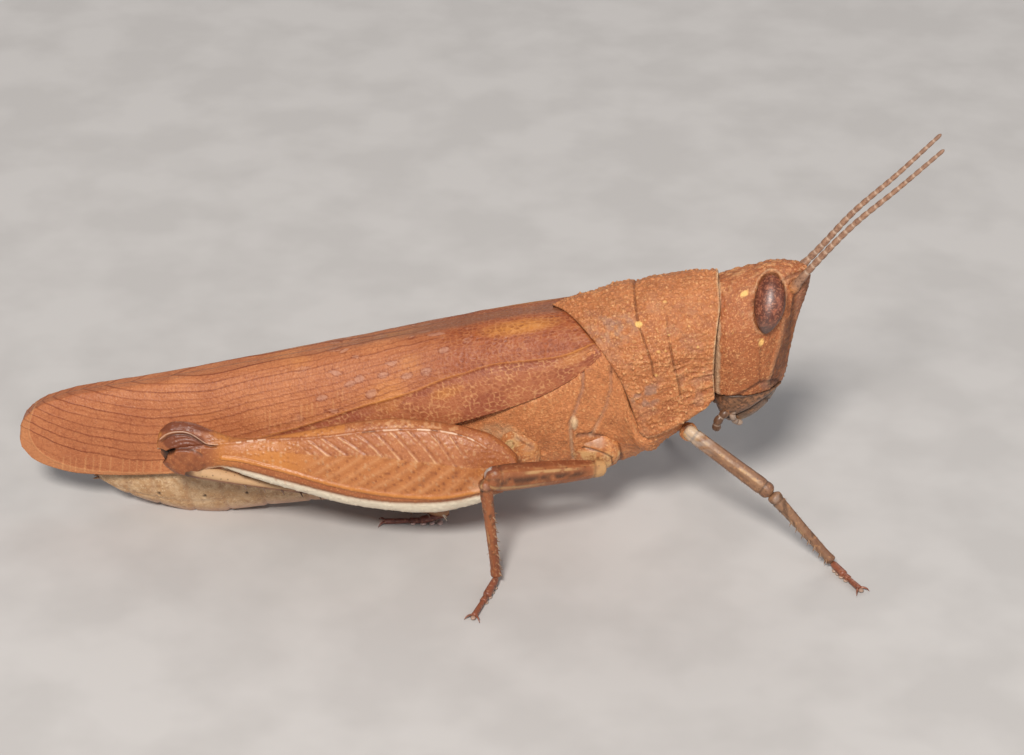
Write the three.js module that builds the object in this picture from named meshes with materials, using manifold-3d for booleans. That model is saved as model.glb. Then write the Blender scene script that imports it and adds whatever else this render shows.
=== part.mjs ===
// A life-size gumleaf grasshopper, adult female, standing with its hind legs folded.
// Units are millimetres, +X is forward, +Y is its left side, +Z is up, and z = 0 is the ground.
// The trunk (head, thorax, abdomen, wings) is shaped in its own frame, x along the body, and then
// pitched head-up as one group. The legs are shaped in the ground's frame.

import * as THREE from 'three';
import { mergeVertices } from 'three/addons/utils/BufferGeometryUtils.js';
import Module from 'manifold-3d';

const wasm = await Module();
wasm.setup();

// ---- driving dimensions ----

const PITCH = THREE.MathUtils.degToRad(13);
const RIDE_HEIGHT = 8.4;
const JOINT_GAP = 0.1;

const HEAD_TOP = 3.95;
const HEAD_BOTTOM = -4.55;
const LEFT_ANTENNA_DROP = 0.38;
const PRONOTUM_THICKNESS = 0.55;
const SIDE_START = 0.6;
const THORAX_REAR = -1.6;
const THORAX_FRONT = 11.2;
const ABDOMEN_FRONT = THORAX_REAR - JOINT_GAP;
const ABDOMEN_CUTS = [-8.4, -15.2];
const ABDOMEN_TIP = -23.1;
const OVIPOSITOR_TIP = -23.7;
const TEGMEN_BASE = 5.4;
const TEGMEN_TIP = -26.5;
const TEGMEN_THICKNESS = 0.5;
const RIDGE_SHARE = 0.12;
const MIDLINE_GAP = 0.06;
const HINDWING_BASE = -3.0;
const HINDWING_TIP = -20.2;
const HINDWING_DROP = 0.22;
const FEMUR_HEAD = -0.1;
const KNEE_BACK = -18.35;
const FEMUR_OUT = 4.0;
const FEMUR_TILT = 0.14;
const COXA_FACETS = 9;
const FEMUR_FLATNESS = 0.8;
const FOOT_RADIUS = 0.27;
const FOOT_CENTRE = 0.17;
const HEEL_LIFT = 0.08;
const CLAW_SPREAD = 1.2;

// Right-hand joint places of each leg in the ground's frame; x forward, y out from the midline.
const RIGHT_LEGS = {
  fore: {
    hip: [9.1, 2.2, 6.85],
    knee: [13.66, 4.0, 4.17],
    heel: [16.94, 4.5, 0.42],
    toe: [18.4, 6.75],
  },
  mid: {
    hip: [5.0, 2.85, 4.75],
    knee: [-1.03, 6.5, 6.15],
    heel: [-0.45, 6.9, 0.45],
    toe: [-1.5, 10.35],
  },
  hind: { knee: [-16.6, 4.0, 4.75], heel: [-3.3, 1.3, 0.75], toe: [-7.1, 1.5], droop: 0 },
};

// The left fore leg is drawn back at mid-step, the left middle foot stands a little further on, and
// the left hind knee is held lower.
const LEFT_LEGS = {
  fore: {
    hip: [9.1, 2.2, 6.85],
    knee: [10.9, 6.3, 4.55],
    heel: [8.3, 8.4, 0.42],
    toe: [7.3, 10.4],
  },
  mid: {
    hip: [5.0, 2.85, 4.75],
    knee: [-0.6, 6.6, 5.95],
    heel: [0.45, 7.1, 0.45],
    toe: [-0.1, 10.3],
  },
  hind: { knee: [-16.5, 3.6, 3.15], heel: [-3.3, 1.3, 0.75], toe: [-7.1, 1.5], droop: 1.6 },
};

// ---- materials ----

function shell(color, roughness) {
  return new THREE.MeshStandardMaterial({ color, roughness, metalness: 0 });
}

const MATERIALS = {
  cuticle: shell(0xb0622c, 0.55),
  tegmen: shell(0xa4512a, 0.5),
  membrane: shell(0x8a6a55, 0.45),
  belly: shell(0xc9a878, 0.6),
  eye: shell(0x4a1d14, 0.2),
  antenna: shell(0xa27a5c, 0.6),
  leg: shell(0x9a5a30, 0.55),
  foot: shell(0x7a3a28, 0.5),
  mouth: shell(0x5e4426, 0.5),
};

// ---- small tools ----

const UP = new THREE.Vector3(0, 0, 1);
const AHEAD = new THREE.Vector3(1, 0, 0);

// Smooth value along a few key points [place, value], with no overshoot between them.
function profile(keys) {
  const slopes = keys.slice(1).map((key, i) => (key[1] - keys[i][1]) / (key[0] - keys[i][0]));
  const tangents = keys.map((key, i) => {
    if (i === 0) return slopes[0];
    if (i === slopes.length) return slopes[i - 1];
    const product = slopes[i - 1] * slopes[i];
    return product > 0 ? (2 * product) / (slopes[i - 1] + slopes[i]) : 0;
  });
  return (place) => {
    const x = THREE.MathUtils.clamp(place, keys[0][0], keys[keys.length - 1][0]);
    let i = 0;
    while (i < slopes.length - 1 && x > keys[i + 1][0]) i += 1;
    const width = keys[i + 1][0] - keys[i][0];
    const t = (x - keys[i][0]) / width;
    const start = keys[i][1] * (1 + 2 * t) + tangents[i] * width * t;
    const end = keys[i + 1][1] * (3 - 2 * t) - tangents[i + 1] * width * (1 - t);
    return start * (1 - t) ** 2 + end * t ** 2;
  };
}

function power(value, exponent) {
  return Math.sign(value) * Math.abs(value) ** exponent;
}

// Rounds both ends of a loft: 1 along the middle, falling as a quarter circle to `blunt`.
function roundEnds(t, start, end, blunt = 0.35) {
  const near = Math.min(start > 0 ? t / start : 1, end > 0 ? (1 - t) / end : 1, 1);
  return blunt + (1 - blunt) * Math.sqrt(1 - (1 - near) ** 2);
}

function moved(geometry, place) {
  const points = geometry.attributes.position;
  const point = new THREE.Vector3();
  for (let i = 0; i < points.count; i += 1) {
    place(point.fromBufferAttribute(points, i));
    points.setXYZ(i, point.x, point.y, point.z);
  }
  return geometry;
}

// A capped cylinder bent to shape: place(t, angle, reach) gives a point for t along it, the angle
// round it and reach 0 on its axis to 1 on its skin.
function loft(sides, steps, place) {
  const tube = new THREE.CylinderGeometry(1, 1, 1, sides, steps);
  return solid(moved(tube, (point) => {
    const angle = Math.atan2(point.x, point.z);
    point.copy(place(point.y + 0.5, angle, Math.hypot(point.x, point.z)));
  }));
}

// A thick sheet bent to shape: place(u, v, depth) with u and v from 0 to 1 and depth 0 or 1.
function sheet(across, along, place) {
  const slab = new THREE.BoxGeometry(1, 1, 1, across, along, 1);
  return solid(moved(slab, (point) => {
    point.copy(place(point.x + 0.5, point.y + 0.5, 0.5 - point.z));
  }));
}

function signedVolume(position, index) {
  const [a, b, c] = [0, 1, 2].map(() => new THREE.Vector3());
  let sum = 0;
  for (let i = 0; i < index.count; i += 3) {
    a.fromBufferAttribute(position, index.getX(i));
    b.fromBufferAttribute(position, index.getX(i + 1));
    c.fromBufferAttribute(position, index.getX(i + 2));
    sum += a.dot(b.cross(c)) / 6;
  }
  return sum;
}

// A closed geometry as a manifold solid with its faces turned outward.
function solid(geometry) {
  geometry.deleteAttribute('normal');
  geometry.deleteAttribute('uv');
  const merged = mergeVertices(geometry, 1e-4);
  const triangles = Uint32Array.from(merged.index.array);
  if (signedVolume(merged.attributes.position, merged.index) < 0) triangles.reverse();
  return new wasm.Manifold(new wasm.Mesh({
    numProp: 3,
    vertProperties: Float32Array.from(merged.attributes.position.array),
    triVerts: triangles,
  }));
}

function mesh(name, body, material) {
  const { vertProperties, triVerts } = body.getMesh();
  const geometry = new THREE.BufferGeometry();
  geometry.setAttribute('position', new THREE.BufferAttribute(vertProperties, 3));
  geometry.setIndex(new THREE.BufferAttribute(triVerts, 1));
  geometry.computeVertexNormals();
  const made = new THREE.Mesh(geometry, material);
  made.name = name;
  return made;
}

function without(body, ...cutters) {
  return cutters.reduce((left, cutter) => left.subtract(cutter), body);
}

// A big box whose top face passes through `point` and faces along `normal`: all that lies behind it.
function behind(point, normal) {
  const size = 60;
  const block = new THREE.BoxGeometry(size, size, size).translate(0, 0, -size / 2);
  const facing = new THREE.Vector3(...normal).normalize();
  const turn = new THREE.Quaternion().setFromUnitVectors(UP, facing);
  block.applyQuaternion(turn);
  block.translate(...point);
  return solid(block);
}

function ellipsoid(centre, radii, sides, tilt = new THREE.Euler()) {
  const ball = new THREE.SphereGeometry(1, sides, Math.ceil((sides * 2) / 3));
  ball.scale(...radii);
  ball.applyQuaternion(new THREE.Quaternion().setFromEuler(tilt));
  ball.translate(...centre);
  return solid(ball);
}

// A limb along a curve, its size(t) giving [half width, half height] across the curve, cut flat
// where it would go below `lowest`.
function limb(curve, sides, steps, size, upward = UP, lowest = -Infinity) {
  return loft(sides, steps, (t, angle, reach) => {
    const ahead = curve.getTangent(t);
    const side = new THREE.Vector3().crossVectors(ahead, upward).normalize();
    const up = new THREE.Vector3().crossVectors(side, ahead);
    const [width, height] = size(t);
    const point = curve.getPoint(t)
      .addScaledVector(side, width * reach * Math.sin(angle))
      .addScaledVector(up, height * reach * Math.cos(angle));
    return point.setZ(Math.max(point.z, lowest));
  });
}

function vector([x, y, z], side = 1) {
  return new THREE.Vector3(x, y * side, z);
}

// ---- head ----

const headFront = profile([
  [-4.55, 11.5], [-4.2, 12.3], [-3.6, 13.05], [-2.4, 14.0], [-0.7, 14.8], [1.2, 15.65],
  [2.3, 16.25], [2.9, 16.4], [3.3, 16.3], [3.6, 16.05], [3.85, 15.4], [3.95, 14.7],
]);
const headRear = profile([
  [-4.55, 10.9], [-4.0, 10.4], [-3.0, 10.3], [-1.7, 10.5], [0.8, 10.95], [2.4, 11.35],
  [3.4, 11.75], [3.65, 12.0], [3.85, 13.3], [3.95, 14.2],
]);
const headHalf = profile([
  [-4.55, 0.4], [-4.2, 0.95], [-3.2, 1.6], [-2.0, 2.0], [0.0, 2.25], [1.2, 2.15],
  [2.0, 1.9], [2.7, 1.5], [3.2, 1.15], [3.6, 0.75], [3.85, 0.4], [3.95, 0.2],
]);
const frontPoint = profile([[-4.55, 1.9], [-1.0, 1.55], [2.0, 1.3], [3.95, 1.5]]);

function headBody(grow = 0) {
  return loft(16, 13, (t, angle, reach) => {
    const eased = (1 - Math.cos(Math.PI * t)) / 2;
    const z = HEAD_BOTTOM + (HEAD_TOP - HEAD_BOTTOM) * eased;
    const front = headFront(z) + grow;
    const rear = headRear(z) - grow;
    const widest = rear + (front - rear) * 0.38;
    const ahead = Math.cos(angle) > 0;
    const round = ahead ? frontPoint(z) : 3.2;
    const half = (headHalf(z) + grow) * reach;
    const length = (ahead ? front - widest : widest - rear) * reach;
    const x = widest + length * power(Math.cos(angle), 2 / (ahead ? 2 : round));
    const y = half * power(Math.sin(angle), 2 / round);
    return new THREE.Vector3(x, y, z + grow * (2 * t - 1));
  });
}

const EYE_CENTRE = [14.05, 1.45, 2.47];
const EYE_RADII = [0.8, 0.52, 1.56];
const EYE_LEAN = THREE.MathUtils.degToRad(34);
const EYE_RAKE = THREE.MathUtils.degToRad(15);
const EYE_FACETS = 12;

function eyeBody(side, grow = 0) {
  const tilt = new THREE.Euler(EYE_LEAN * side, EYE_RAKE, 0);
  const [x, y, z] = EYE_CENTRE;
  return ellipsoid([x, y * side, z], EYE_RADII.map((radius) => radius + grow), EYE_FACETS, tilt);
}

// The mouth's lines, each a point on it and the direction that faces down and out of the mouth.
const CHEEK_LINE = { point: [12.0, 0, -2.35], normal: [-0.19, 0, -1] };
const LIP_LINE = { point: [12.0, 0, -3.35], normal: [0.43, 0, -1] };
const JAW_MIDLINE = { right: [0, -MIDLINE_GAP, 0], left: [0, MIDLINE_GAP, 0] };

function beyond({ point, normal }, gap) {
  const shift = new THREE.Vector3(...normal).setLength(gap);
  const start = vector(point).add(shift);
  return behind(start.toArray(), vector(normal).negate().toArray());
}

function headParts() {
  const whole = headBody();
  const belowCheek = beyond(CHEEK_LINE, 0);
  const belowLip = beyond(LIP_LINE, 0);
  const sockets = [eyeBody(1, JOINT_GAP), eyeBody(-1, JOINT_GAP)];
  const jaws = without(whole.intersect(beyond(CHEEK_LINE, JOINT_GAP)), belowLip);
  return {
    capsule: without(whole, belowCheek, ...sockets),
    labrum: whole.intersect(beyond(LIP_LINE, JOINT_GAP)).intersect(beyond(CHEEK_LINE, JOINT_GAP)),
    jawRight: jaws.intersect(behind(JAW_MIDLINE.right, [0, 1, 0])),
    jawLeft: jaws.intersect(behind(JAW_MIDLINE.left, [0, -1, 0])),
  };
}

function palpBody(side) {
  const path = new THREE.CatmullRomCurve3([
    vector([11.2, 1.15, -3.3], side),
    vector([10.6, 1.4, -3.5], side),
    vector([10.15, 1.5, -3.9], side),
    vector([10.0, 1.4, -4.45], side),
  ]);
  return limb(path, 6, 4, (t) => {
    const radius = 0.27 * roundEnds(t, 0.1, 0.12);
    return [radius, radius];
  }, AHEAD);
}

// `drop` carries the shaft lower beyond its root.
function antennaBody(side, drop) {
  const path = new THREE.CatmullRomCurve3([
    vector([15.0, 0.75, 2.45], side),
    vector([16.7, 0.95, 4.0 - drop], side),
    vector([19.0, 1.05, 5.85 - drop], side),
    vector([21.5, 1.15, 7.45 - drop], side),
    vector([24.0, 1.3, 9.15 - drop], side),
  ]);
  return limb(path, 6, 12, (t) => {
    const radius = 0.29 * roundEnds(t, 0, 0.03, 0.5) * (1 - 0.12 * t);
    return [radius, radius];
  });
}

// ---- thorax and pronotum ----

const thoraxHalf = profile([
  [-1.6, 2.55], [1.0, 2.9], [4.0, 3.0], [6.5, 2.85], [9.0, 2.3], [11.2, 1.8],
]);
const thoraxCore = profile([[-1.6, 2.1], [4.0, 2.15], [7.0, 2.2], [9.0, 1.95], [11.2, 1.5]]);
const thoraxTop = profile([[-1.6, 2.6], [2.0, 3.0], [7.0, 3.2], [11.2, 2.9]]);
const thoraxBottom = profile([
  [-1.6, -5.95], [1.0, -6.15], [3.9, -6.1], [5.3, -5.75], [6.5, -5.25], [7.6, -4.6],
  [9.0, -4.15], [10.2, -3.2], [11.2, -2.7],
]);
// Where the bare side plates stop, under the edge of the wing and then of the pronotum.
const thoraxEave = profile([
  [-1.6, -0.5], [1.5, 0.0], [3.3, 0.55], [4.3, 0.95], [5.0, 0.6], [5.6, -1.3], [6.0, -3.3],
  [6.4, -3.55], [7.4, -3.5], [8.4, -3.2], [9.8, -2.7], [11.2, -2.05],
]);
const EAVE_SHELF = 0.3;

// One section of the trunk: an upper and a lower half that share the height `wide`.
function ring(x, half, top, wide, bottom, angle, reach, upperRound, lowerRound) {
  const upper = Math.cos(angle) > 0;
  const round = upper ? upperRound : lowerRound;
  const height = upper ? top - wide : wide - bottom;
  const y = half * reach * power(Math.sin(angle), 2 / round);
  const z = wide + height * reach * power(Math.cos(angle), 2 / round);
  return new THREE.Vector3(x, y, z);
}

// The side plates stand out below the eave, and above it a narrower core fills the plates' inside.
function thoraxBody(grow = 0) {
  return loft(20, 21, (t, angle, reach) => {
    const x = THORAX_REAR + (THORAX_FRONT - THORAX_REAR) * t;
    const rise = (Math.cos(angle) - EAVE_SHELF) / (1 - EAVE_SHELF);
    const inside = rise > -0.1;
    const turned = inside ? Math.acos(Math.max(rise, 0)) * Math.sign(angle) : angle;
    const half = (inside ? thoraxCore(x) : thoraxHalf(x)) + grow;
    const [top, bottom] = [thoraxTop(x) + grow, thoraxBottom(x) - grow];
    const point = ring(x, half, top, thoraxEave(x), bottom, turned, reach, 2.2, 2.1);
    point.x = THORAX_REAR + (headRear(point.z) - JOINT_GAP - THORAX_REAR) * t;
    return point;
  });
}

const pronotumHalf = profile([
  [3.0, 2.6], [5.0, 2.95], [6.5, 3.05], [8.5, 2.85], [10.5, 2.5], [12.0, 2.3],
]);
const pronotumTop = profile([
  [3.0, 3.75], [5.2, 3.95], [6.8, 4.2], [7.5, 4.1], [8.2, 4.22], [10.0, 4.21], [12.0, 3.9],
]);
const pronotumSkirt = profile([
  [6.2, -2.85], [6.7, -3.28], [7.4, -3.2], [8.4, -2.9], [9.8, -2.35], [10.65, -1.75],
]);
const pronotumHind = profile([
  [0, 3.0], [0.13, 3.8], [0.28, 4.6], [0.42, 5.25], [0.6, 5.85], [0.8, 6.15], [1, 6.25],
]);
const pronotumFore = profile([
  [0, 11.7], [0.3, 11.55], [0.45, 11.2], [0.6, 10.85], [0.8, 10.55], [1, 10.35],
]);
const PRONOTUM_WIDE = 0.8;
const ROOF_ROUND = 1.8;

// The saddle's section at x: `down` runs from 0 on the midline to 1 on the lobe's lower edge.
function saddle(x, down, inset, drop) {
  const half = pronotumHalf(x) - inset;
  const quarter = (Math.min(down, SIDE_START) / SIDE_START) * (Math.PI / 2);
  const side = Math.max(down - SIDE_START, 0) / (1 - SIDE_START);
  const rise = pronotumTop(x) - inset - PRONOTUM_WIDE;
  const skirt = (PRONOTUM_WIDE - pronotumSkirt(x) + drop) * side;
  return {
    y: half * power(Math.sin(quarter), 2 / ROOF_ROUND) - 0.12 * side * side,
    z: PRONOTUM_WIDE + rise * power(Math.cos(quarter), 2 / ROOF_ROUND) - skirt,
  };
}

function pronotumBody(grow = 0, deeper = 0) {
  return sheet(10, 16, (u, v, depth) => {
    const across = 2 * v - 1;
    const down = Math.abs(across);
    const hind = pronotumHind(down) - grow;
    const x = hind + (pronotumFore(down) + grow - hind) * u;
    const inset = depth > 0.5 ? PRONOTUM_THICKNESS + grow + deeper : -grow;
    const { y, z } = saddle(x, down, inset, grow);
    return new THREE.Vector3(x, y * Math.sign(across), z);
  });
}

// ---- abdomen ----

const abdomenHalf = profile([
  [-23.1, 0.45], [-21.5, 0.95], [-19.0, 1.35], [-15.0, 1.75], [-9.0, 2.15], [-1.7, 2.35],
]);
const abdomenTop = profile([[-23.1, -0.8], [-20.0, -0.1], [-15.0, 0.8], [-8.0, 1.8], [-1.7, 2.5]]);
const abdomenBottom = profile([
  [-23.1, -1.75], [-22.3, -2.55], [-21.2, -3.3], [-20.0, -3.95], [-18.5, -4.6], [-17.0, -4.85],
  [-14.0, -4.95], [-8.0, -5.5], [-1.7, -5.95],
]);

// The height of the ground in the trunk's frame, where the hind end of the belly lies on it.
function groundUnder(x) {
  return -(RIDE_HEIGHT + x * Math.sin(PITCH)) / Math.cos(PITCH);
}

function abdomenBody(rear, front) {
  return loft(16, 5, (t, angle, reach) => {
    const x = rear + (front - rear) * t;
    const [top, bottom] = [abdomenTop(x), abdomenBottom(x)];
    const wide = bottom + (top - bottom) * 0.52;
    const point = ring(x, abdomenHalf(x), top, wide, bottom, angle, reach, 2.1, 2.2);
    return point.setZ(Math.max(point.z, groundUnder(x)));
  });
}

function ovipositorBody() {
  const front = ABDOMEN_TIP - JOINT_GAP;
  return loft(8, 4, (t, angle, reach) => {
    const x = OVIPOSITOR_TIP + (front - OVIPOSITOR_TIP) * t;
    const round = reach * roundEnds(t, 0.8, 0, 0.4);
    const y = 0.42 * round * Math.sin(angle);
    return new THREE.Vector3(x, y, -1.3 + 0.42 * round * Math.cos(angle));
  });
}

// ---- wings ----

const tegmenRidge = profile([
  [-26.5, 1.95], [-26.2, 2.65], [-25.5, 3.2], [-24.5, 3.58], [-22.5, 3.76], [-18.0, 3.64],
  [-8.0, 3.7], [0.0, 3.8], [3.5, 3.62], [5.4, 3.35],
]);
const tegmenEdge = profile([
  [-26.5, 1.4], [-26.1, 0.6], [-25.0, -0.15], [-23.5, -0.65], [-21.0, -1.0], [-17.0, -1.22],
  [-10.0, -1.15], [-5.0, -0.7], [-1.0, -0.25], [1.5, 0.2], [3.3, 0.8], [4.4, 1.35], [5.4, 2.0],
]);
const tegmenHalf = profile([
  [-26.5, 0.8], [-24.0, 1.15], [-21.5, 1.5], [-19.0, 1.85], [-15.0, 2.25], [-9.0, 2.75],
  [-2.0, 3.0], [2.0, 2.98], [5.4, 2.85],
]);
const RIDGE_HALF = 0.42;
const TEGMEN_ROUND = 1.9;

// A point of the tegmen's outer face: `down` runs from its edge on the midline to its outer edge.
function tegmenFace(x, down, grow) {
  const top = tegmenRidge(x) + grow;
  const bottom = tegmenEdge(x) - grow;
  if (down < RIDGE_SHARE) {
    const inner = MIDLINE_GAP - grow;
    return new THREE.Vector2(inner + (RIDGE_HALF - inner) * (down / RIDGE_SHARE), top);
  }
  const quarter = ((down - RIDGE_SHARE) / (1 - RIDGE_SHARE)) * (Math.PI / 2);
  const out = (tegmenHalf(x) - RIDGE_HALF) * power(Math.sin(quarter), 2 / TEGMEN_ROUND);
  const fall = (top - bottom) * power(Math.cos(quarter), 2 / TEGMEN_ROUND);
  return new THREE.Vector2(RIDGE_HALF + out, bottom + fall);
}

function tegmenInward(x, down, grow) {
  const step = 0.01;
  const before = tegmenFace(x, Math.max(down - step, 0), grow);
  const after = tegmenFace(x, Math.min(down + step, 1), grow);
  const along = after.sub(before).normalize();
  return new THREE.Vector2(along.y, -along.x);
}

function tegmenBody(side, grow = 0) {
  const tip = TEGMEN_TIP - grow;
  return sheet(16, 7, (u, v, depth) => {
    const x = tip + (TEGMEN_BASE - tip) * u ** 1.55;
    const face = tegmenFace(x, v, grow);
    const into = depth > 0.5 ? TEGMEN_THICKNESS + grow : -grow;
    face.addScaledVector(tegmenInward(x, v, grow), into);
    return new THREE.Vector3(x, Math.max(face.x, MIDLINE_GAP - grow) * side, face.y);
  });
}

// The tegmen's outer face at a height, as its distance from the midline.
function tegmenReach(x, z) {
  const bottom = tegmenEdge(x);
  const share = THREE.MathUtils.clamp((z - bottom) / (tegmenRidge(x) - bottom), 0, 1);
  const out = (1 - share ** TEGMEN_ROUND) ** (1 / TEGMEN_ROUND);
  return RIDGE_HALF + (tegmenHalf(x) - RIDGE_HALF) * out;
}

// The folded hind wing fills the room under the tegmen and over the abdomen.
function hindwingBody(side) {
  return loft(8, 8, (t, angle, reach) => {
    const x = HINDWING_TIP + (HINDWING_BASE - HINDWING_TIP) * t;
    const round = reach * roundEnds(t, 0.13, 0, 0.8);
    const top = tegmenRidge(x) - TEGMEN_THICKNESS - 2 * JOINT_GAP - HINDWING_DROP;
    const floor = Math.max(abdomenTop(x) + 2 * JOINT_GAP, tegmenEdge(x) + 0.5);
    const z = (top + floor) / 2 + ((top - floor) / 2) * round * power(Math.cos(angle), 0.4);
    const room = tegmenReach(x, z + 0.45) - TEGMEN_THICKNESS - 3 * JOINT_GAP - MIDLINE_GAP;
    const y = MIDLINE_GAP + (Math.max(room, 0.2) / 2) * (1 + round * power(Math.sin(angle), 0.4));
    return new THREE.Vector3(x, y * side, z);
  });
}

// ---- legs ----

function footprint([x, y], side) {
  return new THREE.Vector3(x, y * side, FOOT_CENTRE);
}

function straight(start, end) {
  return new THREE.LineCurve3(start, end);
}

function coxaBody(centre, radii, side, grow = 0) {
  const [x, y, z] = centre;
  return ellipsoid([x, y * side, z], radii.map((radius) => radius + grow), COXA_FACETS);
}

function femurBody(start, end, thick, slim, grow = 0) {
  return limb(straight(start, end), 8, 7, (t) => {
    const taper = thick + (slim - thick) * Math.max(0, (t - 0.3) / 0.7);
    const radius = taper * roundEnds(t, 0.1, 0.06, 0.6) + grow;
    return [radius * FEMUR_FLATNESS, radius];
  });
}

function tibiaBody(start, end, thick, slim) {
  return limb(straight(start, end), 7, 6, (t) => {
    const radius = (thick + (slim - thick) * t) * roundEnds(t, 0.06, 0.06, 0.6);
    return [radius, radius];
  }, AHEAD);
}

// Three swollen pads in a row that end in a spread pair of claws, flat where they meet the ground.
function tarsusBody(heel, toe) {
  const ahead = new THREE.Vector3().subVectors(toe, heel).setZ(0).normalize();
  const start = heel.clone().setZ(FOOT_CENTRE + HEEL_LIFT).addScaledVector(ahead, 0.35);
  return limb(straight(start, toe), 7, 9, (t) => {
    const pads = 1 - 0.12 * Math.cos(t * Math.PI * 6);
    const spread = 1 + CLAW_SPREAD * Math.max(0, (t - 0.85) / 0.15);
    const radius = FOOT_RADIUS * pads * roundEnds(t, 0.12, 0.12, 0.5);
    return [radius * spread, radius];
  }, UP, 0);
}

// The jumping leg's thigh: one deep blade from the hip to the knee, its crest and keel in x.
const femurCrest = profile([
  [-18.35, 1.75], [-18.05, 2.35], [-17.3, 2.7], [-16.5, 2.55], [-15.5, 1.98], [-14.2, 1.22],
  [-12.5, 0.96], [-8.3, 0.96], [-6.2, 0.83], [-4.3, 0.38], [-2.5, -0.27], [-1.3, -0.85],
  [-0.6, -1.5], [-0.1, -2.3],
]);
const femurKeel = profile([
  [-18.35, 1.1], [-18.05, 0.4], [-17.4, -0.12], [-16.5, -0.15], [-15.5, -0.12], [-14.8, -0.45],
  [-14.0, -0.95], [-11.7, -2.16], [-9.4, -3.3], [-7.4, -4.0], [-5.9, -4.43], [-4.4, -4.62],
  [-2.65, -4.5], [-1.3, -4.15], [-0.6, -3.7], [-0.1, -3.0],
]);
const femurThick = profile([
  [-18.35, 0.4], [-17.4, 0.62], [-15.2, 0.5], [-12.0, 0.65], [-7.0, 0.88], [-3.5, 0.9],
  [-0.1, 0.45],
]);
const FEMUR_MIDDLE = -1.6;
const FEMUR_DRAW_IN = 0.25;

// `droop` lowers the knee and draws it in, as the femur turns about its hip.
function hindFemurBody(side, droop, grow = 0) {
  return loft(12, 16, (t, angle, reach) => {
    const x = KNEE_BACK - grow + (FEMUR_HEAD - KNEE_BACK + 2 * grow) * t;
    const fall = (droop * (FEMUR_HEAD - x)) / (FEMUR_HEAD - KNEE_BACK);
    const top = femurCrest(x) + grow;
    const bottom = femurKeel(x) - grow;
    const middle = (top + bottom) / 2;
    const z = middle + ((top - bottom) / 2) * reach * power(Math.cos(angle), 0.95);
    const lean = FEMUR_OUT - FEMUR_TILT * (z - FEMUR_MIDDLE) - FEMUR_DRAW_IN * fall;
    const y = lean + (femurThick(x) + grow) * reach * power(Math.sin(angle), 0.9);
    return new THREE.Vector3(x, y * side, z - fall);
  });
}

function hindTibiaBody(knee, heel) {
  const bend = knee.clone().lerp(heel, 0.12).add(new THREE.Vector3(0, 0, -0.15));
  const path = new THREE.CatmullRomCurve3([
    knee.clone().add(new THREE.Vector3(-0.5, 0, 0.2)),
    bend,
    knee.clone().lerp(heel, 0.55),
    heel,
  ]);
  return limb(path, 7, 11, (t) => {
    const radius = (0.42 - 0.1 * Math.min(1, t * 4)) * roundEnds(t, 0.06, 0.06);
    return [radius * 0.9, radius];
  });
}

// ---- assembly ----

const trunk = new THREE.Group();
trunk.rotation.y = -PITCH;
trunk.position.z = RIDE_HEIGHT;
trunk.updateMatrix();

const groundToTrunk = trunk.matrix.clone().invert();

// A joint's place, given in the ground's frame, in the trunk's frame.
function onTrunk(place, side) {
  return vector(place, side).applyMatrix4(groundToTrunk);
}

function trunkParts() {
  const pronotumDeep = pronotumBody(JOINT_GAP, 0.7);
  const { capsule, labrum, jawRight, jawLeft } = headParts();
  const headRoom = headBody(JOINT_GAP);
  const lengths = [
    [ABDOMEN_CUTS[0] + JOINT_GAP / 2, ABDOMEN_FRONT],
    [ABDOMEN_CUTS[1] + JOINT_GAP / 2, ABDOMEN_CUTS[0] - JOINT_GAP / 2],
    [ABDOMEN_TIP, ABDOMEN_CUTS[1] - JOINT_GAP / 2],
  ];
  const abdomen = lengths.map(([rear, front]) => abdomenBody(rear, front));
  const sides = [['right', -1], ['left', 1]];
  trunk.add(
    mesh('head', capsule, MATERIALS.cuticle),
    mesh('labrum', labrum, MATERIALS.mouth),
    mesh('mandible_right', jawRight, MATERIALS.mouth),
    mesh('mandible_left', jawLeft, MATERIALS.mouth),
    mesh('pronotum', pronotumBody(), MATERIALS.cuticle),
    mesh('thorax', thoraxBody(), MATERIALS.cuticle),
    mesh('abdomen_front', abdomen[0], MATERIALS.belly),
    mesh('abdomen_middle', abdomen[1], MATERIALS.belly),
    mesh('abdomen_rear', abdomen[2], MATERIALS.belly),
    mesh('ovipositor', ovipositorBody(), MATERIALS.belly),
  );
  for (const [name, side] of sides) {
    const antenna = without(antennaBody(side, side > 0 ? LEFT_ANTENNA_DROP : 0), headRoom);
    const palp = without(palpBody(side), headRoom);
    trunk.add(
      mesh(`eye_${name}`, eyeBody(side), MATERIALS.eye),
      mesh(`antenna_${name}`, antenna, MATERIALS.antenna),
      mesh(`palps_${name}`, palp, MATERIALS.mouth),
      mesh(`forewing_${name}`, without(tegmenBody(side), pronotumDeep), MATERIALS.tegmen),
      mesh(`hindwing_${name}`, hindwingBody(side), MATERIALS.membrane),
    );
  }
}

const COXAE = {
  fore: { centre: [8.62, 1.9, -3.95], radii: [0.66, 0.66, 0.68] },
  mid: { centre: [3.9, 2.25, -3.98], radii: [1.0, 0.75, 1.25] },
  hind: { centre: [-0.1, 2.6, -2.9], radii: [1.08, 0.65, 1.47] },
};

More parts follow.
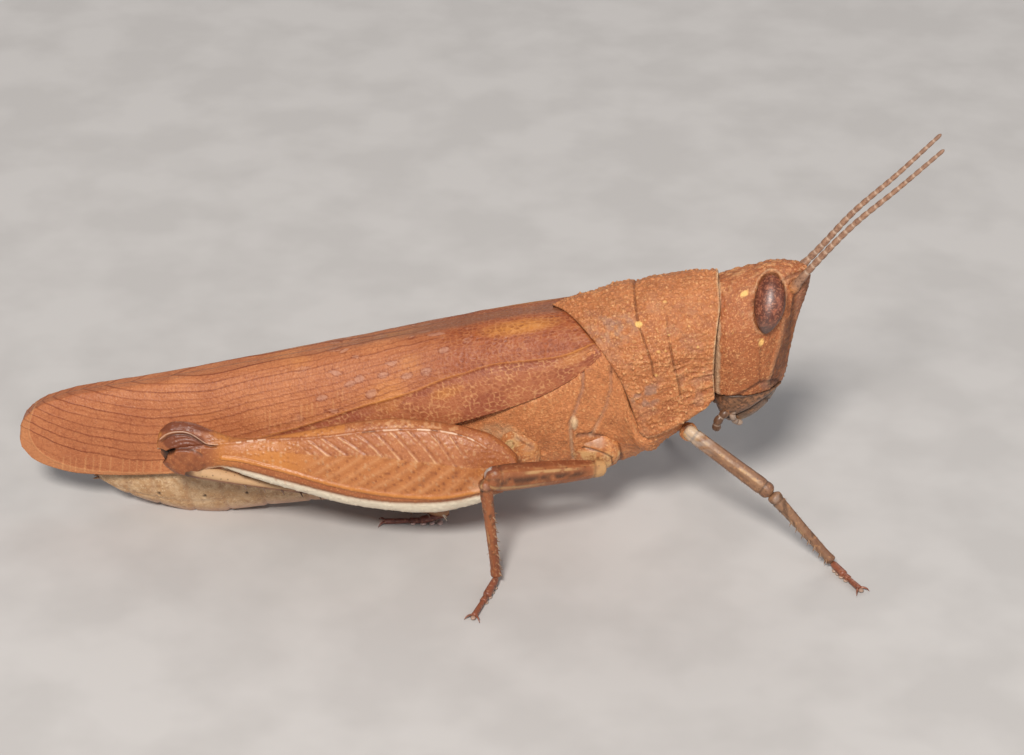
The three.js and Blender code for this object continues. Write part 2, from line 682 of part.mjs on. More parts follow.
function legParts(model, name, side, legs) {
  const thoraxRoom = thoraxBody(JOINT_GAP);
  const tegmen = tegmenBody(side, JOINT_GAP);
  const hindFemur = hindFemurBody(side, legs.hind.droop);
  const hindFemurRoom = hindFemurBody(side, legs.hind.droop, JOINT_GAP);
  for (const pair of ['fore', 'mid', 'hind']) {
    const leg = legs[pair];
    const { centre, radii } = COXAE[pair];
    const coxa = without(coxaBody(centre, radii, side), thoraxRoom, tegmen);
    const coxaRoom = coxaBody(centre, radii, side, JOINT_GAP);
    const heel = vector(leg.heel, side);
    const tarsus = tarsusBody(heel, footprint(leg.toe, side));
    model.add(mesh(`${pair}_tarsus_${name}`, tarsus, MATERIALS.foot));
    if (pair === 'hind') {
      const shin = hindTibiaBody(onTrunk(leg.knee, side), onTrunk(leg.heel, side));
      const tibia = without(shin, hindFemurRoom);
      trunk.add(
        mesh(`${pair}_coxa_${name}`, without(coxa, hindFemurRoom), MATERIALS.cuticle),
        mesh(`${pair}_femur_${name}`, hindFemur, MATERIALS.leg),
        mesh(`${pair}_tibia_${name}`, tibia, MATERIALS.leg),
      );
      continue;
    }
    const [thick, slim] = pair === 'mid' ? [0.72, 0.66] : [0.48, 0.42];
    const hip = onTrunk(leg.hip, side);
    const knee = onTrunk(leg.knee, side);
    const femur = femurBody(hip, knee, thick, slim);
    const femurRoom = femurBody(hip, knee, thick, slim, JOINT_GAP);
    const tibia = tibiaBody(knee, onTrunk(leg.heel, side), 0.36, 0.25);
    trunk.add(
      mesh(`${pair}_coxa_${name}`, coxa, MATERIALS.belly),
      mesh(`${pair}_femur_${name}`, without(femur, coxaRoom, thoraxRoom), MATERIALS.leg),
      mesh(`${pair}_tibia_${name}`, without(tibia, femurRoom), MATERIALS.leg),
    );
  }
}

const grasshopper = new THREE.Group();
grasshopper.add(trunk);
trunkParts();
legParts(grasshopper, 'right', -1, RIGHT_LEGS);
legParts(grasshopper, 'left', 1, LEFT_LEGS);

// The ground-frame origin is moved under the middle of the whole animal's box.
const middle = new THREE.Box3().setFromObject(grasshopper, true).getCenter(new THREE.Vector3());
grasshopper.position.set(-middle.x, -middle.y, 0);

export default grasshopper;
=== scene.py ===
import math

import bpy
import numpy as np
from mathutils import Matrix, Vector


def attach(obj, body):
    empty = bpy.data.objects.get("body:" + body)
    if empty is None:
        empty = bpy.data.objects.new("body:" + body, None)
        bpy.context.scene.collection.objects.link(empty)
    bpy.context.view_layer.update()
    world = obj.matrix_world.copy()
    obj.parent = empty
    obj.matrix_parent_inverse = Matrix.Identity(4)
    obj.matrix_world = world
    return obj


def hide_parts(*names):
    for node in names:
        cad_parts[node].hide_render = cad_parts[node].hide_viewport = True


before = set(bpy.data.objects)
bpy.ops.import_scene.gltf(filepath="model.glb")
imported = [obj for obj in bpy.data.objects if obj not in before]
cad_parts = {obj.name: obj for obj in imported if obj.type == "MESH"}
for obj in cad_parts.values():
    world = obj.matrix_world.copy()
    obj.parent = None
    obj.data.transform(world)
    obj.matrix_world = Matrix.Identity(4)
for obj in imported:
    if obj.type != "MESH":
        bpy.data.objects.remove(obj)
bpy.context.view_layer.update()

# ---- the two frames ----
# The trunk's shapes are in millimetres in its own frame, x along the body, and are pitched head-up.
# The legs are in millimetres on the ground's frame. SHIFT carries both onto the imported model.

PITCH = math.radians(13)
RIDE_HEIGHT = 8.4
SHIFT = np.array([2.37697, -0.04469, 0.0])
MM = 0.001
COS_P, SIN_P = math.cos(PITCH), math.sin(PITCH)
BOTH_SIDES = (("right", -1), ("left", 1))


def trunk_to_ground(p):
    x, y, z = p[..., 0], p[..., 1], p[..., 2]
    return np.stack([x * COS_P - z * SIN_P, y, RIDE_HEIGHT + x * SIN_P + z * COS_P], -1)


def ground_to_trunk(p):
    p = np.asarray(p, float)
    x, y, z = p[..., 0], p[..., 1], p[..., 2] - RIDE_HEIGHT
    return np.stack([x * COS_P + z * SIN_P, y, -x * SIN_P + z * COS_P], -1)


# ---- the camera, and the picture plane that the markings are laid out in ----

AZIMUTH, ELEVATION = math.radians(3), math.radians(30)
LENS, SENSOR = 100.0, 36.0
WIDE, HIGH = 1024, 755
PIXELS_PER_MM = 19.1
FOCAL = LENS / SENSOR * WIDE
BACK = np.array([math.sin(AZIMUTH) * math.cos(ELEVATION), -math.cos(AZIMUTH) * math.cos(ELEVATION),
    math.sin(ELEVATION)])
RIGHT = np.array([math.cos(AZIMUTH), math.sin(AZIMUTH), 0.0])
UPWARD = np.cross(BACK, RIGHT)
AIM = np.array([0.0, 0.0, RIDE_HEIGHT])
EYE_POINT = AIM + BACK * FOCAL / PIXELS_PER_MM

camera_data = bpy.data.cameras.new("camera")
camera_data.lens = LENS
camera_data.sensor_width = SENSOR
camera_data.clip_start = 0.005
camera_data.clip_end = 5
camera = bpy.data.objects.new("camera", camera_data)
bpy.context.scene.collection.objects.link(camera)
camera.location = Vector((EYE_POINT + SHIFT) * MM)
camera.rotation_euler = Vector(BACK).to_track_quat("Z", "Y").to_euler()
bpy.context.scene.camera = camera
bpy.context.scene.view_settings.view_transform = "Standard"


def pix(trunk_points):
    """Where points of the trunk lie in the picture plane, with the far half's mirrored to the near one."""
    q = trunk_to_ground(trunk_points)
    q[..., 1] = -np.abs(q[..., 1])
    d = q - EYE_POINT
    depth = -(d @ BACK)
    return np.stack([WIDE / 2 + FOCAL * (d @ RIGHT) / depth, HIGH / 2 - FOCAL * (d @ UPWARD) / depth], -1)


# ---- numbers ----


def profile(keys):
    """Smooth value along key points [place, value], with no overshoot between them."""
    xs = np.array([k[0] for k in keys], float)
    ys = np.array([k[1] for k in keys], float)
    slopes = np.diff(ys) / np.diff(xs)
    tangents = np.zeros(len(xs))
    tangents[0], tangents[-1] = slopes[0], slopes[-1]
    for i in range(1, len(xs) - 1):
        product = slopes[i - 1] * slopes[i]
        tangents[i] = 2 * product / (slopes[i - 1] + slopes[i]) if product > 0 else 0

    def at(place):
        x = np.clip(np.asarray(place, float), xs[0], xs[-1])
        i = np.clip(np.searchsorted(xs, x, side="left") - 1, 0, len(xs) - 2)
        w = xs[i + 1] - xs[i]
        t = (x - xs[i]) / w
        start = ys[i] * (1 + 2 * t) + tangents[i] * w * t
        end = ys[i + 1] * (3 - 2 * t) - tangents[i + 1] * w * (1 - t)
        return start * (1 - t) ** 2 + end * t**2

    return at


def unit(value):
    return np.clip(value, 0, 1)


def bell(x, width):
    """1 where x is 0, falling to 0 on both sides."""
    return np.exp(-((x / width) ** 2))


def power(value, exponent):
    return np.sign(value) * np.abs(value) ** exponent


def step(lo, hi, x):
    t = unit((x - lo) / (hi - lo))
    return t * t * (3 - 2 * t)


def fade(lo, hi, x):
    """1 up to lo, 0 from hi on."""
    return 1 - step(lo, hi, x)


def around(along_it, columns):
    """A grid over values along a piece and angles round it, from -pi to pi."""
    return np.meshgrid(along_it, np.linspace(-np.pi, np.pi, columns, endpoint=False), indexing="ij")


def sphere(margin, rows, columns):
    """Points of a unit sphere in rings from the top down, its poles left open by a share of the half turn."""
    polar = np.linspace(margin, 1 - margin, rows) * np.pi
    pp, tt = np.meshgrid(polar, np.linspace(0, 2 * np.pi, columns, endpoint=False), indexing="ij")
    return np.stack([np.sin(pp) * np.cos(tt), np.sin(pp) * np.sin(tt), np.cos(pp)], -1)


HASH_PRIMES = 374761393, 668265263, 2246822519


def scramble(cells, salt):
    """A repeatable random number from 0 to 1 for each integer cell."""
    h = np.full(cells.shape[:-1], salt * 2654435761 % 4294967296, np.uint64)
    for i, prime in zip(range(cells.shape[-1]), HASH_PRIMES):
        h = (h + cells[..., i].astype(np.int64).astype(np.uint64) * np.uint64(prime)) & np.uint64(0xFFFFFFFF)
        h = ((h ^ (h >> np.uint64(13))) * np.uint64(1274126177)) & np.uint64(0xFFFFFFFF)
    h = h ^ (h >> np.uint64(16))
    return (h & np.uint64(0xFFFFFF)).astype(float) / 0xFFFFFF


def noise(p, size, salt=0):
    """Smooth noise from -1 to 1 with lumps about `size` across."""
    q = p / size
    base = np.floor(q)
    f = q - base
    f = f * f * (3 - 2 * f)
    base = base.astype(np.int64)
    total = 0
    dims = p.shape[-1]
    for corner in range(2**dims):
        offset = np.array([(corner >> i) & 1 for i in range(dims)])
        weight = np.prod(np.where(offset == 1, f, 1 - f), -1)
        total = total + weight * scramble(base + offset, salt)
    return total * 2 - 1


def patchy(lo, hi, p, size, salt):
    """1 in the patches where the noise is over hi, 0 where it is under lo."""
    return step(lo, hi, noise(p, size, salt))


def fbm(p, size, salt=0, octaves=3):
    return sum(noise(p, size / 2**i, salt + i) / 2**i for i in range(octaves)) / 1.6


def cells(p, size, salt=0):
    """Distances to the two nearest scattered points, in units of `size`, and the nearest one's number."""
    q = p / size
    base = np.floor(q).astype(np.int64)
    dims = p.shape[-1]
    first = np.full(q.shape[:-1], 9.0)
    second = first.copy()
    name = np.zeros(q.shape[:-1])
    for k in range(3**dims):
        offset = np.array([(k // 3**i) % 3 - 1 for i in range(dims)])
        cell = base + offset
        jitter = np.stack([scramble(cell, salt + 11 * (i + 1)) for i in range(dims)], -1)
        d = np.sqrt((((cell + jitter) - q) ** 2).sum(-1))
        nearer = d < first
        second = np.where(nearer, first, np.minimum(second, d))
        name = np.where(nearer, jitter[..., 0], name)
        first = np.where(nearer, d, first)
    return first, second, name


def distance(q, place):
    return np.hypot(*np.moveaxis(q - np.asarray(place, float), -1, 0))


def along(q, points):
    """Distance from picture points to a drawn line, and how far along it, from 0 to 1."""
    pts = np.array(points, float)
    best = np.full(q.shape[:-1], 1e9)
    where = np.zeros(q.shape[:-1])
    lengths = np.hypot(*np.diff(pts, axis=0).T)
    run = 0.0
    for a, b, length in zip(pts[:-1], pts[1:], lengths):
        ab = b - a
        t = unit(((q - a) @ ab) / (ab @ ab))
        d = distance(q, a + t[..., None] * ab)
        nearer = d < best
        where = np.where(nearer, (run + t * length) / lengths.sum(), where)
        best = np.where(nearer, d, best)
        run += length
    return best, where


def eased(points, rounds=2):
    """A drawn line with its corners cut, so that it bends smoothly."""
    pts = np.array(points, float)
    for _ in range(rounds):
        near, far = 0.75 * pts[:-1] + 0.25 * pts[1:], 0.25 * pts[:-1] + 0.75 * pts[1:]
        pts = np.concatenate([pts[:1], np.stack([near, far], 1).reshape(-1, 2), pts[-1:]])
    return pts


def stroke(q, points, width):
    """1 on a drawn line of that full width in pixels, fading to 0 at its edges."""
    return fade(0.25 * width, 0.75 * width, along(q, points)[0])


def spot(q, centre, radii, turn=0.0):
    """1 in the middle of a turned ellipse in the picture plane, 0 outside it."""
    d = q - np.array(centre, float)
    c, s = math.cos(math.radians(turn)), math.sin(math.radians(turn))
    a = (d[..., 0] * c + d[..., 1] * s) / radii[0]
    b = (-d[..., 0] * s + d[..., 1] * c) / radii[1]
    return unit(1 - (a * a + b * b))


def strongest(draw, q, marks):
    """The strongest of several strokes or spots at each point, each given with its share first."""
    return np.maximum.reduce([share * draw(q, *mark) for share, *mark in marks])


def out_from(place):
    """How far out on a spot, from 0 in its middle to 1 at its border, from the spot's own value."""
    return np.sqrt(1 - np.clip(place, 0, 0.999))


def ring_on(place, middle, width):
    """A ring on a spot, its middle line at that share of the way out."""
    return bell(out_from(place) - middle, width) * (place > 0)


def beside(q, points):
    """Signed distance from a drawn line that runs left to right: positive below it in the picture."""
    pts = np.array(points, float)
    order = np.argsort(pts[:, 0])
    return q[..., 1] - np.interp(q[..., 0], pts[order, 0], pts[order, 1])


# ---- meshes ----


def normals_of(grid, wrap=True):
    along_u = np.gradient(grid, axis=0)
    if wrap:
        along_v = np.roll(grid, -1, 1) - np.roll(grid, 1, 1)
    else:
        along_v = np.gradient(grid, axis=1)
    n = np.cross(along_u, along_v)
    length = np.linalg.norm(n, axis=-1, keepdims=True)
    n = n / np.maximum(length, 1e-9)
    out = grid - grid.mean(1, keepdims=True)
    if (n * out).sum() < 0:
        n = -n
    return n


def quads_of(rows, columns, wrap):
    i = np.arange(rows - 1)[:, None] * columns
    j = np.arange(columns if wrap else columns - 1)[None, :]
    k = (j + 1) % columns
    a, b, c, d = i + j, i + k, i + columns + k, i + columns + j
    return np.stack([a, b, c, d], -1).reshape(-1, 4)


def build(name, points, faces, material, masks=None, nodes=(), trunk=True):
    """A smooth mesh from points in millimetres and a list of quads or triangles, riding on the model."""
    ground = trunk_to_ground(points) if trunk else np.asarray(points, float)
    mesh = bpy.data.meshes.new(name)
    mesh.from_pydata((ground + SHIFT) * MM, [], [[int(v) for v in f] for f in faces])
    mesh.polygons.foreach_set("use_smooth", np.ones(len(mesh.polygons), bool))
    for key, values in (masks or {}).items():
        layer = mesh.attributes.new(key, "FLOAT", "POINT")
        layer.data.foreach_set("value", unit(values).astype(np.float32).ravel())
    mesh.materials.append(material)
    mesh.validate()
    mesh.update()
    piece = bpy.data.objects.new(name, mesh)
    bpy.context.scene.collection.objects.link(piece)
    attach(piece, "root")
    if nodes:
        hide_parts(*nodes)
    return piece


def tube(name, rings, material, masks=None, nodes=(), trunk=True, cap="fan"):
    """A closed loft through rings of points, with its ends closed."""
    rows, columns = rings.shape[:2]
    points = rings.reshape(-1, 3)
    flat = {k: np.broadcast_to(v, (rows, columns)).ravel() for k, v in (masks or {}).items()}
    faces = quads_of(rows, columns, True)
    corner = rings[0, 0]
    flip = np.cross(rings[1, 0] - corner, rings[0, 1] - corner) @ (corner - rings[0].mean(0)) > 0
    faces = (faces[:, ::-1] if flip else faces).tolist()
    if cap == "fan":
        ends = [rings[0].mean(0), rings[-1].mean(0)]
        base = rows * columns
        points = np.concatenate([points, ends])
        for end, centre in ((0, base), (rows - 1, base + 1)):
            for j in range(columns):
                face = [centre, end * columns + j, end * columns + (j + 1) % columns]
                turned = (end == 0) != flip
                faces.append(face[::-1] if turned else face)
        for k, v in flat.items():
            grid = v.reshape(rows, columns)
            flat[k] = np.concatenate([v, [grid[0].mean(), grid[-1].mean()]])
    elif cap == "ngon":
        first = list(range(columns))
        last = list(range((rows - 1) * columns, rows * columns))
        faces.append(first if flip else first[::-1])
        faces.append(last[::-1] if flip else last)
    return build(name, points, faces, material, flat, nodes, trunk)


def spike(root, tip, radius, sides=6, rows=4, bend=None):
    """A pointed closed cone, for spines, claws and hairs."""
    root, tip = np.asarray(root, float), np.asarray(tip, float)
    axis = tip - root
    ahead = axis / np.linalg.norm(axis)
    side = np.cross(ahead, [0.31, 0.83, 0.46])
    side /= np.linalg.norm(side)
    up = np.cross(side, ahead)
    points = []
    for i in range(rows):
        t = i / rows
        centre = root + axis * t
        if bend is not None:
            centre = centre + np.asarray(bend, float) * math.sin(math.pi * t)
        r = radius * (1 - t) ** 0.7
        for j in range(sides):
            a = 2 * math.pi * j / sides
            points.append(centre + r * (math.cos(a) * side + math.sin(a) * up))
    points += [root - ahead * radius * 0.3, tip]
    faces = quads_of(rows, sides, True)[:, ::-1].tolist()
    n = rows * sides
    for j in range(sides):
        faces.append([n, (j + 1) % sides, j][::-1])
        faces.append([n + 1, (rows - 1) * sides + j, (rows - 1) * sides + (j + 1) % sides][::-1])
    return np.array(points), faces


# ---- materials ----


class Paint:
    """A procedural material: colours mixed by the piece's own masks and by noise, with bump."""

    def __init__(self, name, base, rough=0.5, specular=0.4, coat=0.0):
        self.material = bpy.data.materials.new(name)
        self.material.use_nodes = True
        self.tree = self.material.node_tree
        self.shader = self.tree.nodes["Principled BSDF"]
        self.shader.inputs["Roughness"].default_value = rough
        self.shader.inputs["Specular IOR Level"].default_value = specular
        self.shader.inputs["Coat Weight"].default_value = coat
        self.shader.inputs["Coat Roughness"].default_value = 0.25
        self.coords = self.tree.nodes.new("ShaderNodeTexCoord").outputs["Object"]
        rgb = self.tree.nodes.new("ShaderNodeRGB")
        rgb.outputs[0].default_value = (*base, 1)
        self.colour = rgb.outputs[0]
        self.normal = None

    def wire(self, source, target):
        self.tree.links.new(source, target)

    def mask(self, name):
        node = self.tree.nodes.new("ShaderNodeAttribute")
        node.attribute_name = name
        return node.outputs["Fac"]

    def noise(self, size, detail=3.0, rough=0.6, lo=0.35, hi=0.65, stretch=None):
        node = self.tree.nodes.new("ShaderNodeTexNoise")
        node.inputs["Scale"].default_value = 1 / (size * MM)
        node.inputs["Detail"].default_value = detail
        node.inputs["Roughness"].default_value = rough
        self.wire(self.stretched(stretch), node.inputs["Vector"])
        return self.spread(node.outputs[0], lo, hi)

    def stretched(self, stretch):
        if stretch is None:
            return self.coords
        node = self.tree.nodes.new("ShaderNodeMapping")
        node.inputs["Scale"].default_value = stretch
        self.wire(self.coords, node.inputs["Vector"])
        return node.outputs[0]

    def dots(self, size, lo, hi, stretch=None, feature="F1"):
        node = self.tree.nodes.new("ShaderNodeTexVoronoi")
        node.feature = feature
        node.inputs["Scale"].default_value = 1 / (size * MM)
        self.wire(self.stretched(stretch), node.inputs["Vector"])
        return self.spread(node.outputs["Distance"], lo, hi)

    def spread(self, value, lo, hi):
        node = self.tree.nodes.new("ShaderNodeMapRange")
        node.inputs["From Min"].default_value = lo
        node.inputs["From Max"].default_value = hi
        self.wire(value, node.inputs["Value"])
        return node.outputs[0]

    def times(self, a, b):
        node = self.tree.nodes.new("ShaderNodeMath")
        node.operation = "MULTIPLY"
        self.wire(a, node.inputs[0])
        if isinstance(b, (int, float)):
            node.inputs[1].default_value = b
        else:
            self.wire(b, node.inputs[1])
        return node.outputs[0]

    def lay(self, factor, colour, amount=1.0):
        """Mixes a colour over what is there, by a mask's name or a node's output."""
        if isinstance(factor, str):
            factor = self.mask(factor)
        node = self.tree.nodes.new("ShaderNodeMix")
        node.data_type = "RGBA"
        self.wire(self.times(factor, amount), node.inputs[0])
        self.wire(self.colour, node.inputs[6])
        node.inputs[7].default_value = (*colour, 1)
        self.colour = node.outputs[2]
        return self

    def bump(self, height, depth, strength=1.0):
        node = self.tree.nodes.new("ShaderNodeBump")
        node.inputs["Distance"].default_value = depth * MM
        node.inputs["Strength"].default_value = strength
        self.wire(height, node.inputs["Height"])
        if self.normal is not None:
            self.wire(self.normal, node.inputs["Normal"])
        self.normal = node.outputs[0]
        return self

    def roughness(self, factor, lo, hi):
        node = self.tree.nodes.new("ShaderNodeMapRange")
        node.inputs["To Min"].default_value = lo
        node.inputs["To Max"].default_value = hi
        self.wire(factor, node.inputs["Value"])
        self.wire(node.outputs[0], self.shader.inputs["Roughness"])
        return self

    def done(self):
        self.wire(self.colour, self.shader.inputs["Base Color"])
        if self.normal is not None:
            self.wire(self.normal, self.shader.inputs["Normal"])
        return self.material


ORANGE = (0.50, 0.172, 0.056)
DEEP = (0.27, 0.075, 0.025)
DARK = (0.10, 0.032, 0.014)
GLINT = (0.82, 0.44, 0.19)
CREAM = (0.72, 0.50, 0.29)
YELLOW = (0.88, 0.52, 0.17)
GREY = (0.26, 0.19, 0.16)


def shell_paint(name, base=ORANGE, rough=0.48):
    """The pitted, granular orange-brown cuticle of head, pronotum and thorax, its granules painted pale as
    glints: painted highlights.
    """
    warm = tuple(min(1, 1.2 * c) for c in base)
    p = Paint(name, base, rough, 0.42)
    p.lay(p.noise(1.6, 4, 0.6, 0.38, 0.72), (warm[0], warm[1] * 1.08, warm[2] * 1.15), 0.6)
    p.lay(p.noise(0.5, 4, 0.65, 0.5, 0.72), tuple(0.6 * c for c in base), 0.7)
    p.lay("pit", DEEP, 0.8)
    p.lay(p.noise(0.16, 3, 0.6, 0.52, 0.68), tuple(0.5 * c for c in base), 0.6)
    p.lay(p.noise(0.1, 2, 0.5, 0.55, 0.7), (0.78, 0.37, 0.15), 0.6)
    # painted highlight: the pale glints on the granules
    p.lay("grain_and_glint", GLINT, 0.8)
    p.lay("grey", GREY, 0.8)
    p.lay("dark", DARK, 0.9)
    p.lay("pale", CREAM, 0.9)
    p.lay("yellow", YELLOW, 1.0)
    fine = p.noise(0.11, 3, 0.6, 0.3, 0.7)
    p.bump(fine, 0.03, 0.9)
    p.roughness(fine, rough - 0.08, rough + 0.14)
    return p.done()


SHELL = shell_paint("shell")
# a brighter copy of the shell for the thorax's side plates: painted light, the side shown more strongly lit
# than the pronotum
LIT_SIDES = shell_paint("side_plates_painted_light", (0.60, 0.215, 0.075))
HEAD_SHELL = shell_paint("head_shell", (0.40, 0.122, 0.040))

# ---- forms ----
# They follow the solids' curves, but the head's front, the pronotum's fore edge and the thorax's eave differ.

HEAD_TOP, HEAD_BOTTOM = 3.95, -4.55
CHEEK_X, CHEEK_DEPTH, CHEEK_SLOPE, LIP_DEPTH, LIP_SLOPE = 12.0, 2.35, 0.19, 3.35, 0.43
head_front = profile([
    [-4.55, 11.5], [-4.2, 12.3], [-3.6, 13.05], [-2.4, 13.95], [-0.7, 14.68], [1.2, 15.5],
    [2.3, 16.14], [2.9, 16.36], [3.3, 16.3], [3.6, 16.05], [3.85, 15.4], [3.95, 14.7]])
head_rear = profile([
    [-4.55, 10.9], [-4.0, 10.4], [-3.0, 10.3], [-1.7, 10.5], [0.8, 10.95], [2.4, 11.35],
    [3.4, 11.75], [3.65, 12.0], [3.85, 13.3], [3.95, 14.2]])
head_half = profile([
    [-4.55, 0.4], [-4.2, 0.95], [-3.2, 1.6], [-2.0, 2.0], [0.0, 2.25], [1.2, 2.15],
    [2.0, 1.9], [2.7, 1.5], [3.2, 1.15], [3.6, 0.75], [3.85, 0.4], [3.95, 0.2]])
front_point = profile([[-4.55, 1.9], [-1.0, 1.55], [2.0, 1.3], [3.95, 1.5]])


def head_at(z, angle):
    front, rear = head_front(z), head_rear(z)
    widest = rear + (front - rear) * 0.38
    ahead = np.cos(angle) > 0
    rounding = np.where(ahead, front_point(z), 3.2)
    length = np.where(ahead, front - widest, widest - rear)
    x = widest + length * power(np.cos(angle), np.where(ahead, 1.0, 2 / 3.2))
    y = head_half(z) * power(np.sin(angle), 2 / rounding)
    return np.stack([x, y, z + 0 * x], -1)


EYE_CENTRE = np.array([14.05, 1.45, 2.47])
EYE_RADII = np.array([0.8, 0.52, 1.56])
EYE_LEAN, EYE_RAKE = math.radians(34), math.radians(15)


def eye_axes(side):
    a, b = EYE_LEAN * side, EYE_RAKE
    turn_x = np.array([[1, 0, 0], [0, math.cos(a), -math.sin(a)], [0, math.sin(a), math.cos(a)]])
    turn_y = np.array([[math.cos(b), 0, math.sin(b)], [0, 1, 0], [-math.sin(b), 0, math.cos(b)]])
    return turn_x @ turn_y


def eye_distance(p):
    """1 on the eye's surface, less inside it, for either side."""
    q = np.array(p, float)
    q[..., 1] = np.abs(q[..., 1])
    local = (q - EYE_CENTRE) @ eye_axes(1)
    return np.sqrt(((local / EYE_RADII) ** 2).sum(-1))


SIDE_START, PRONOTUM_WIDE, ROOF_ROUND = 0.6, 0.8, 1.8
pronotum_half = profile([[3.0, 2.6], [5.0, 2.95], [6.5, 3.05], [8.5, 2.85], [10.5, 2.5], [12.0, 2.3]])
pronotum_top = profile([
    [3.0, 3.75], [5.2, 3.95], [6.8, 4.2], [7.5, 4.1], [8.2, 4.22], [10.0, 4.21], [12.0, 3.9]])
pronotum_skirt = profile([[6.2, -2.85], [6.7, -3.28], [7.4, -3.2], [8.4, -2.9], [9.8, -2.35], [10.65, -1.75]])
pronotum_hind = profile([
    [0, 3.0], [0.13, 3.8], [0.28, 4.6], [0.42, 5.25], [0.6, 5.85], [0.8, 6.15], [1, 6.25]])
pronotum_fore = profile([[0, 11.74], [0.3, 11.6], [0.45, 11.25], [0.6, 10.9], [0.8, 10.6], [1, 10.38]])


def saddle(x, down, inset):
    half = pronotum_half(x) - inset
    quarter = np.minimum(down, SIDE_START) / SIDE_START * math.pi / 2
    side = np.maximum(down - SIDE_START, 0) / (1 - SIDE_START)
    rise = pronotum_top(x) - inset - PRONOTUM_WIDE
    skirt = (PRONOTUM_WIDE - pronotum_skirt(x)) * side
    y = half * np.sin(quarter) ** (2 / ROOF_ROUND) - 0.12 * side**2
    z = PRONOTUM_WIDE + rise * np.abs(np.cos(quarter)) ** (2 / ROOF_ROUND) - skirt
    return y, z


THORAX_REAR, THORAX_FRONT, EAVE_SHELF = -2.9, 11.2, 0.3
thorax_half = profile([[-1.6, 2.55], [1.0, 2.9], [4.0, 3.0], [6.5, 2.85], [9.0, 2.3], [11.2, 1.8]])
thorax_core = profile([[-1.6, 2.1], [4.0, 2.15], [7.0, 2.2], [9.0, 1.95], [11.2, 1.5]])
thorax_top = profile([[-1.6, 2.6], [2.0, 3.0], [7.0, 3.2], [11.2, 2.9]])
thorax_bottom = profile([
    [-1.6, -5.95], [1.0, -6.15], [3.9, -6.1], [5.3, -5.75], [6.5, -5.25], [7.6, -4.6],
    [9.0, -4.15], [10.2, -3.2], [11.2, -2.7]])
thorax_eave = profile([
    [-2.8, 0.1], [-1.6, 0.1], [1.5, 0.5], [3.3, 1.0], [4.2, 1.5], [4.8, 1.95], [5.3, 1.8], [5.7, 1.0],
    [6.3, -0.9], [6.65, -2.9],
    [7.0, -3.4], [7.4, -3.4], [8.4, -3.15], [9.8, -2.65], [11.2, -2.05]])

abdomen_half = profile([
    [-23.1, 0.45], [-21.5, 0.95], [-19.0, 1.35], [-15.0, 1.75], [-9.0, 2.15], [-1.7, 2.35]])
abdomen_top = profile([[-23.1, -0.8], [-20.0, -0.1], [-15.0, 0.8], [-8.0, 1.8], [-1.7, 2.5]])
abdomen_bottom = profile([
    [-23.1, -1.75], [-22.3, -2.55], [-21.2, -3.3], [-20.0, -3.95], [-18.5, -4.6], [-17.0, -4.85],
    [-14.0, -4.95], [-8.0, -5.5], [-1.7, -5.95]])

TEGMEN_BASE, TEGMEN_TIP, RIDGE_SHARE, RIDGE_HALF = 5.4, -26.5, 0.12, 0.42
TEGMEN_ROUND, MIDLINE_GAP, WING_GAP = 1.9, 0.06, 0.012
tegmen_ridge = profile([
    [-26.5, 1.95], [-26.2, 2.65], [-25.5, 3.2], [-24.5, 3.58], [-22.5, 3.76], [-18.0, 3.64],
    [-8.0, 3.7], [0.0, 3.8], [3.5, 3.62], [5.4, 3.35]])
tegmen_edge = profile([
    [-26.5, 1.4], [-26.1, 0.6], [-25.0, -0.15], [-23.5, -0.65], [-21.0, -1.0], [-17.0, -1.22],
    [-10.0, -1.15], [-5.0, -0.7], [-1.0, -0.25], [1.5, 0.2], [3.3, 0.8], [4.4, 1.35], [5.4, 2.0]])
tegmen_half = profile([
    [-26.5, 0.8], [-24.0, 1.15], [-21.5, 1.5], [-19.0, 1.85], [-15.0, 2.25], [-9.0, 2.75],
    [-2.0, 3.0], [2.0, 2.98], [5.4, 2.85]])

KNEE_BACK, FEMUR_HEAD, FEMUR_OUT, FEMUR_TILT, FEMUR_MIDDLE, DRAW_IN = -18.35, -0.1, 4.0, 0.14, -1.6, 0.25
femur_crest = profile([
    [-18.35, 1.75], [-18.05, 2.35], [-17.3, 2.7], [-16.5, 2.55], [-15.5, 1.98], [-14.2, 1.22],
    [-12.5, 0.96], [-8.3, 0.96], [-6.2, 0.83], [-4.3, 0.38], [-2.5, -0.27], [-1.3, -0.85],
    [-0.6, -1.5], [-0.1, -2.3]])
femur_keel = profile([
    [-18.35, 1.1], [-18.05, 0.4], [-17.4, -0.12], [-16.5, -0.15], [-15.5, -0.12], [-14.8, -0.45],
    [-14.0, -0.95], [-11.7, -2.16], [-9.4, -3.3], [-7.4, -4.0], [-5.9, -4.43], [-4.4, -4.62],
    [-2.65, -4.5], [-1.3, -4.15], [-0.6, -3.7], [-0.1, -3.0]])
femur_thick = profile([
    [-18.35, 0.4], [-17.4, 0.62], [-15.2, 0.5], [-12.0, 0.65], [-7.0, 0.88], [-3.5, 0.9],
    [-0.1, 0.45]])


def granular(p, pit_size, amount, salt):
    """The cuticle's pits and granules: a height in millimetres, and the masks that colour it, the granules'
    mask painted pale as glints, a painted highlight.
    """
    first, second, name = cells(p, pit_size, salt)
    wall = unit(second - first)
    pit = fade(0.12, 0.5, wall)
    grain_at = fade(0.12, 0.34, first)
    grain_and_glint = grain_at * (name > 0.8)
    rough = fbm(p, 0.7, salt + 5)
    worm = 1 - np.abs(noise(p, 0.27, salt + 9) + 0.4 * noise(p, 0.13, salt + 10))
    worm = step(0.86, 0.99, worm) * patchy(-0.25, 0.3, p, 0.6, salt + 11)
    height = amount * (0.035 * (1 - pit) + 0.035 * grain_and_glint + 0.03 * worm + 0.025 * rough)
    return height, {"pit": pit * (0.4 + 0.35 * rough), "grain_and_glint": unit(0.8 * grain_and_glint + 0.36 * worm)}


# ---- head ----

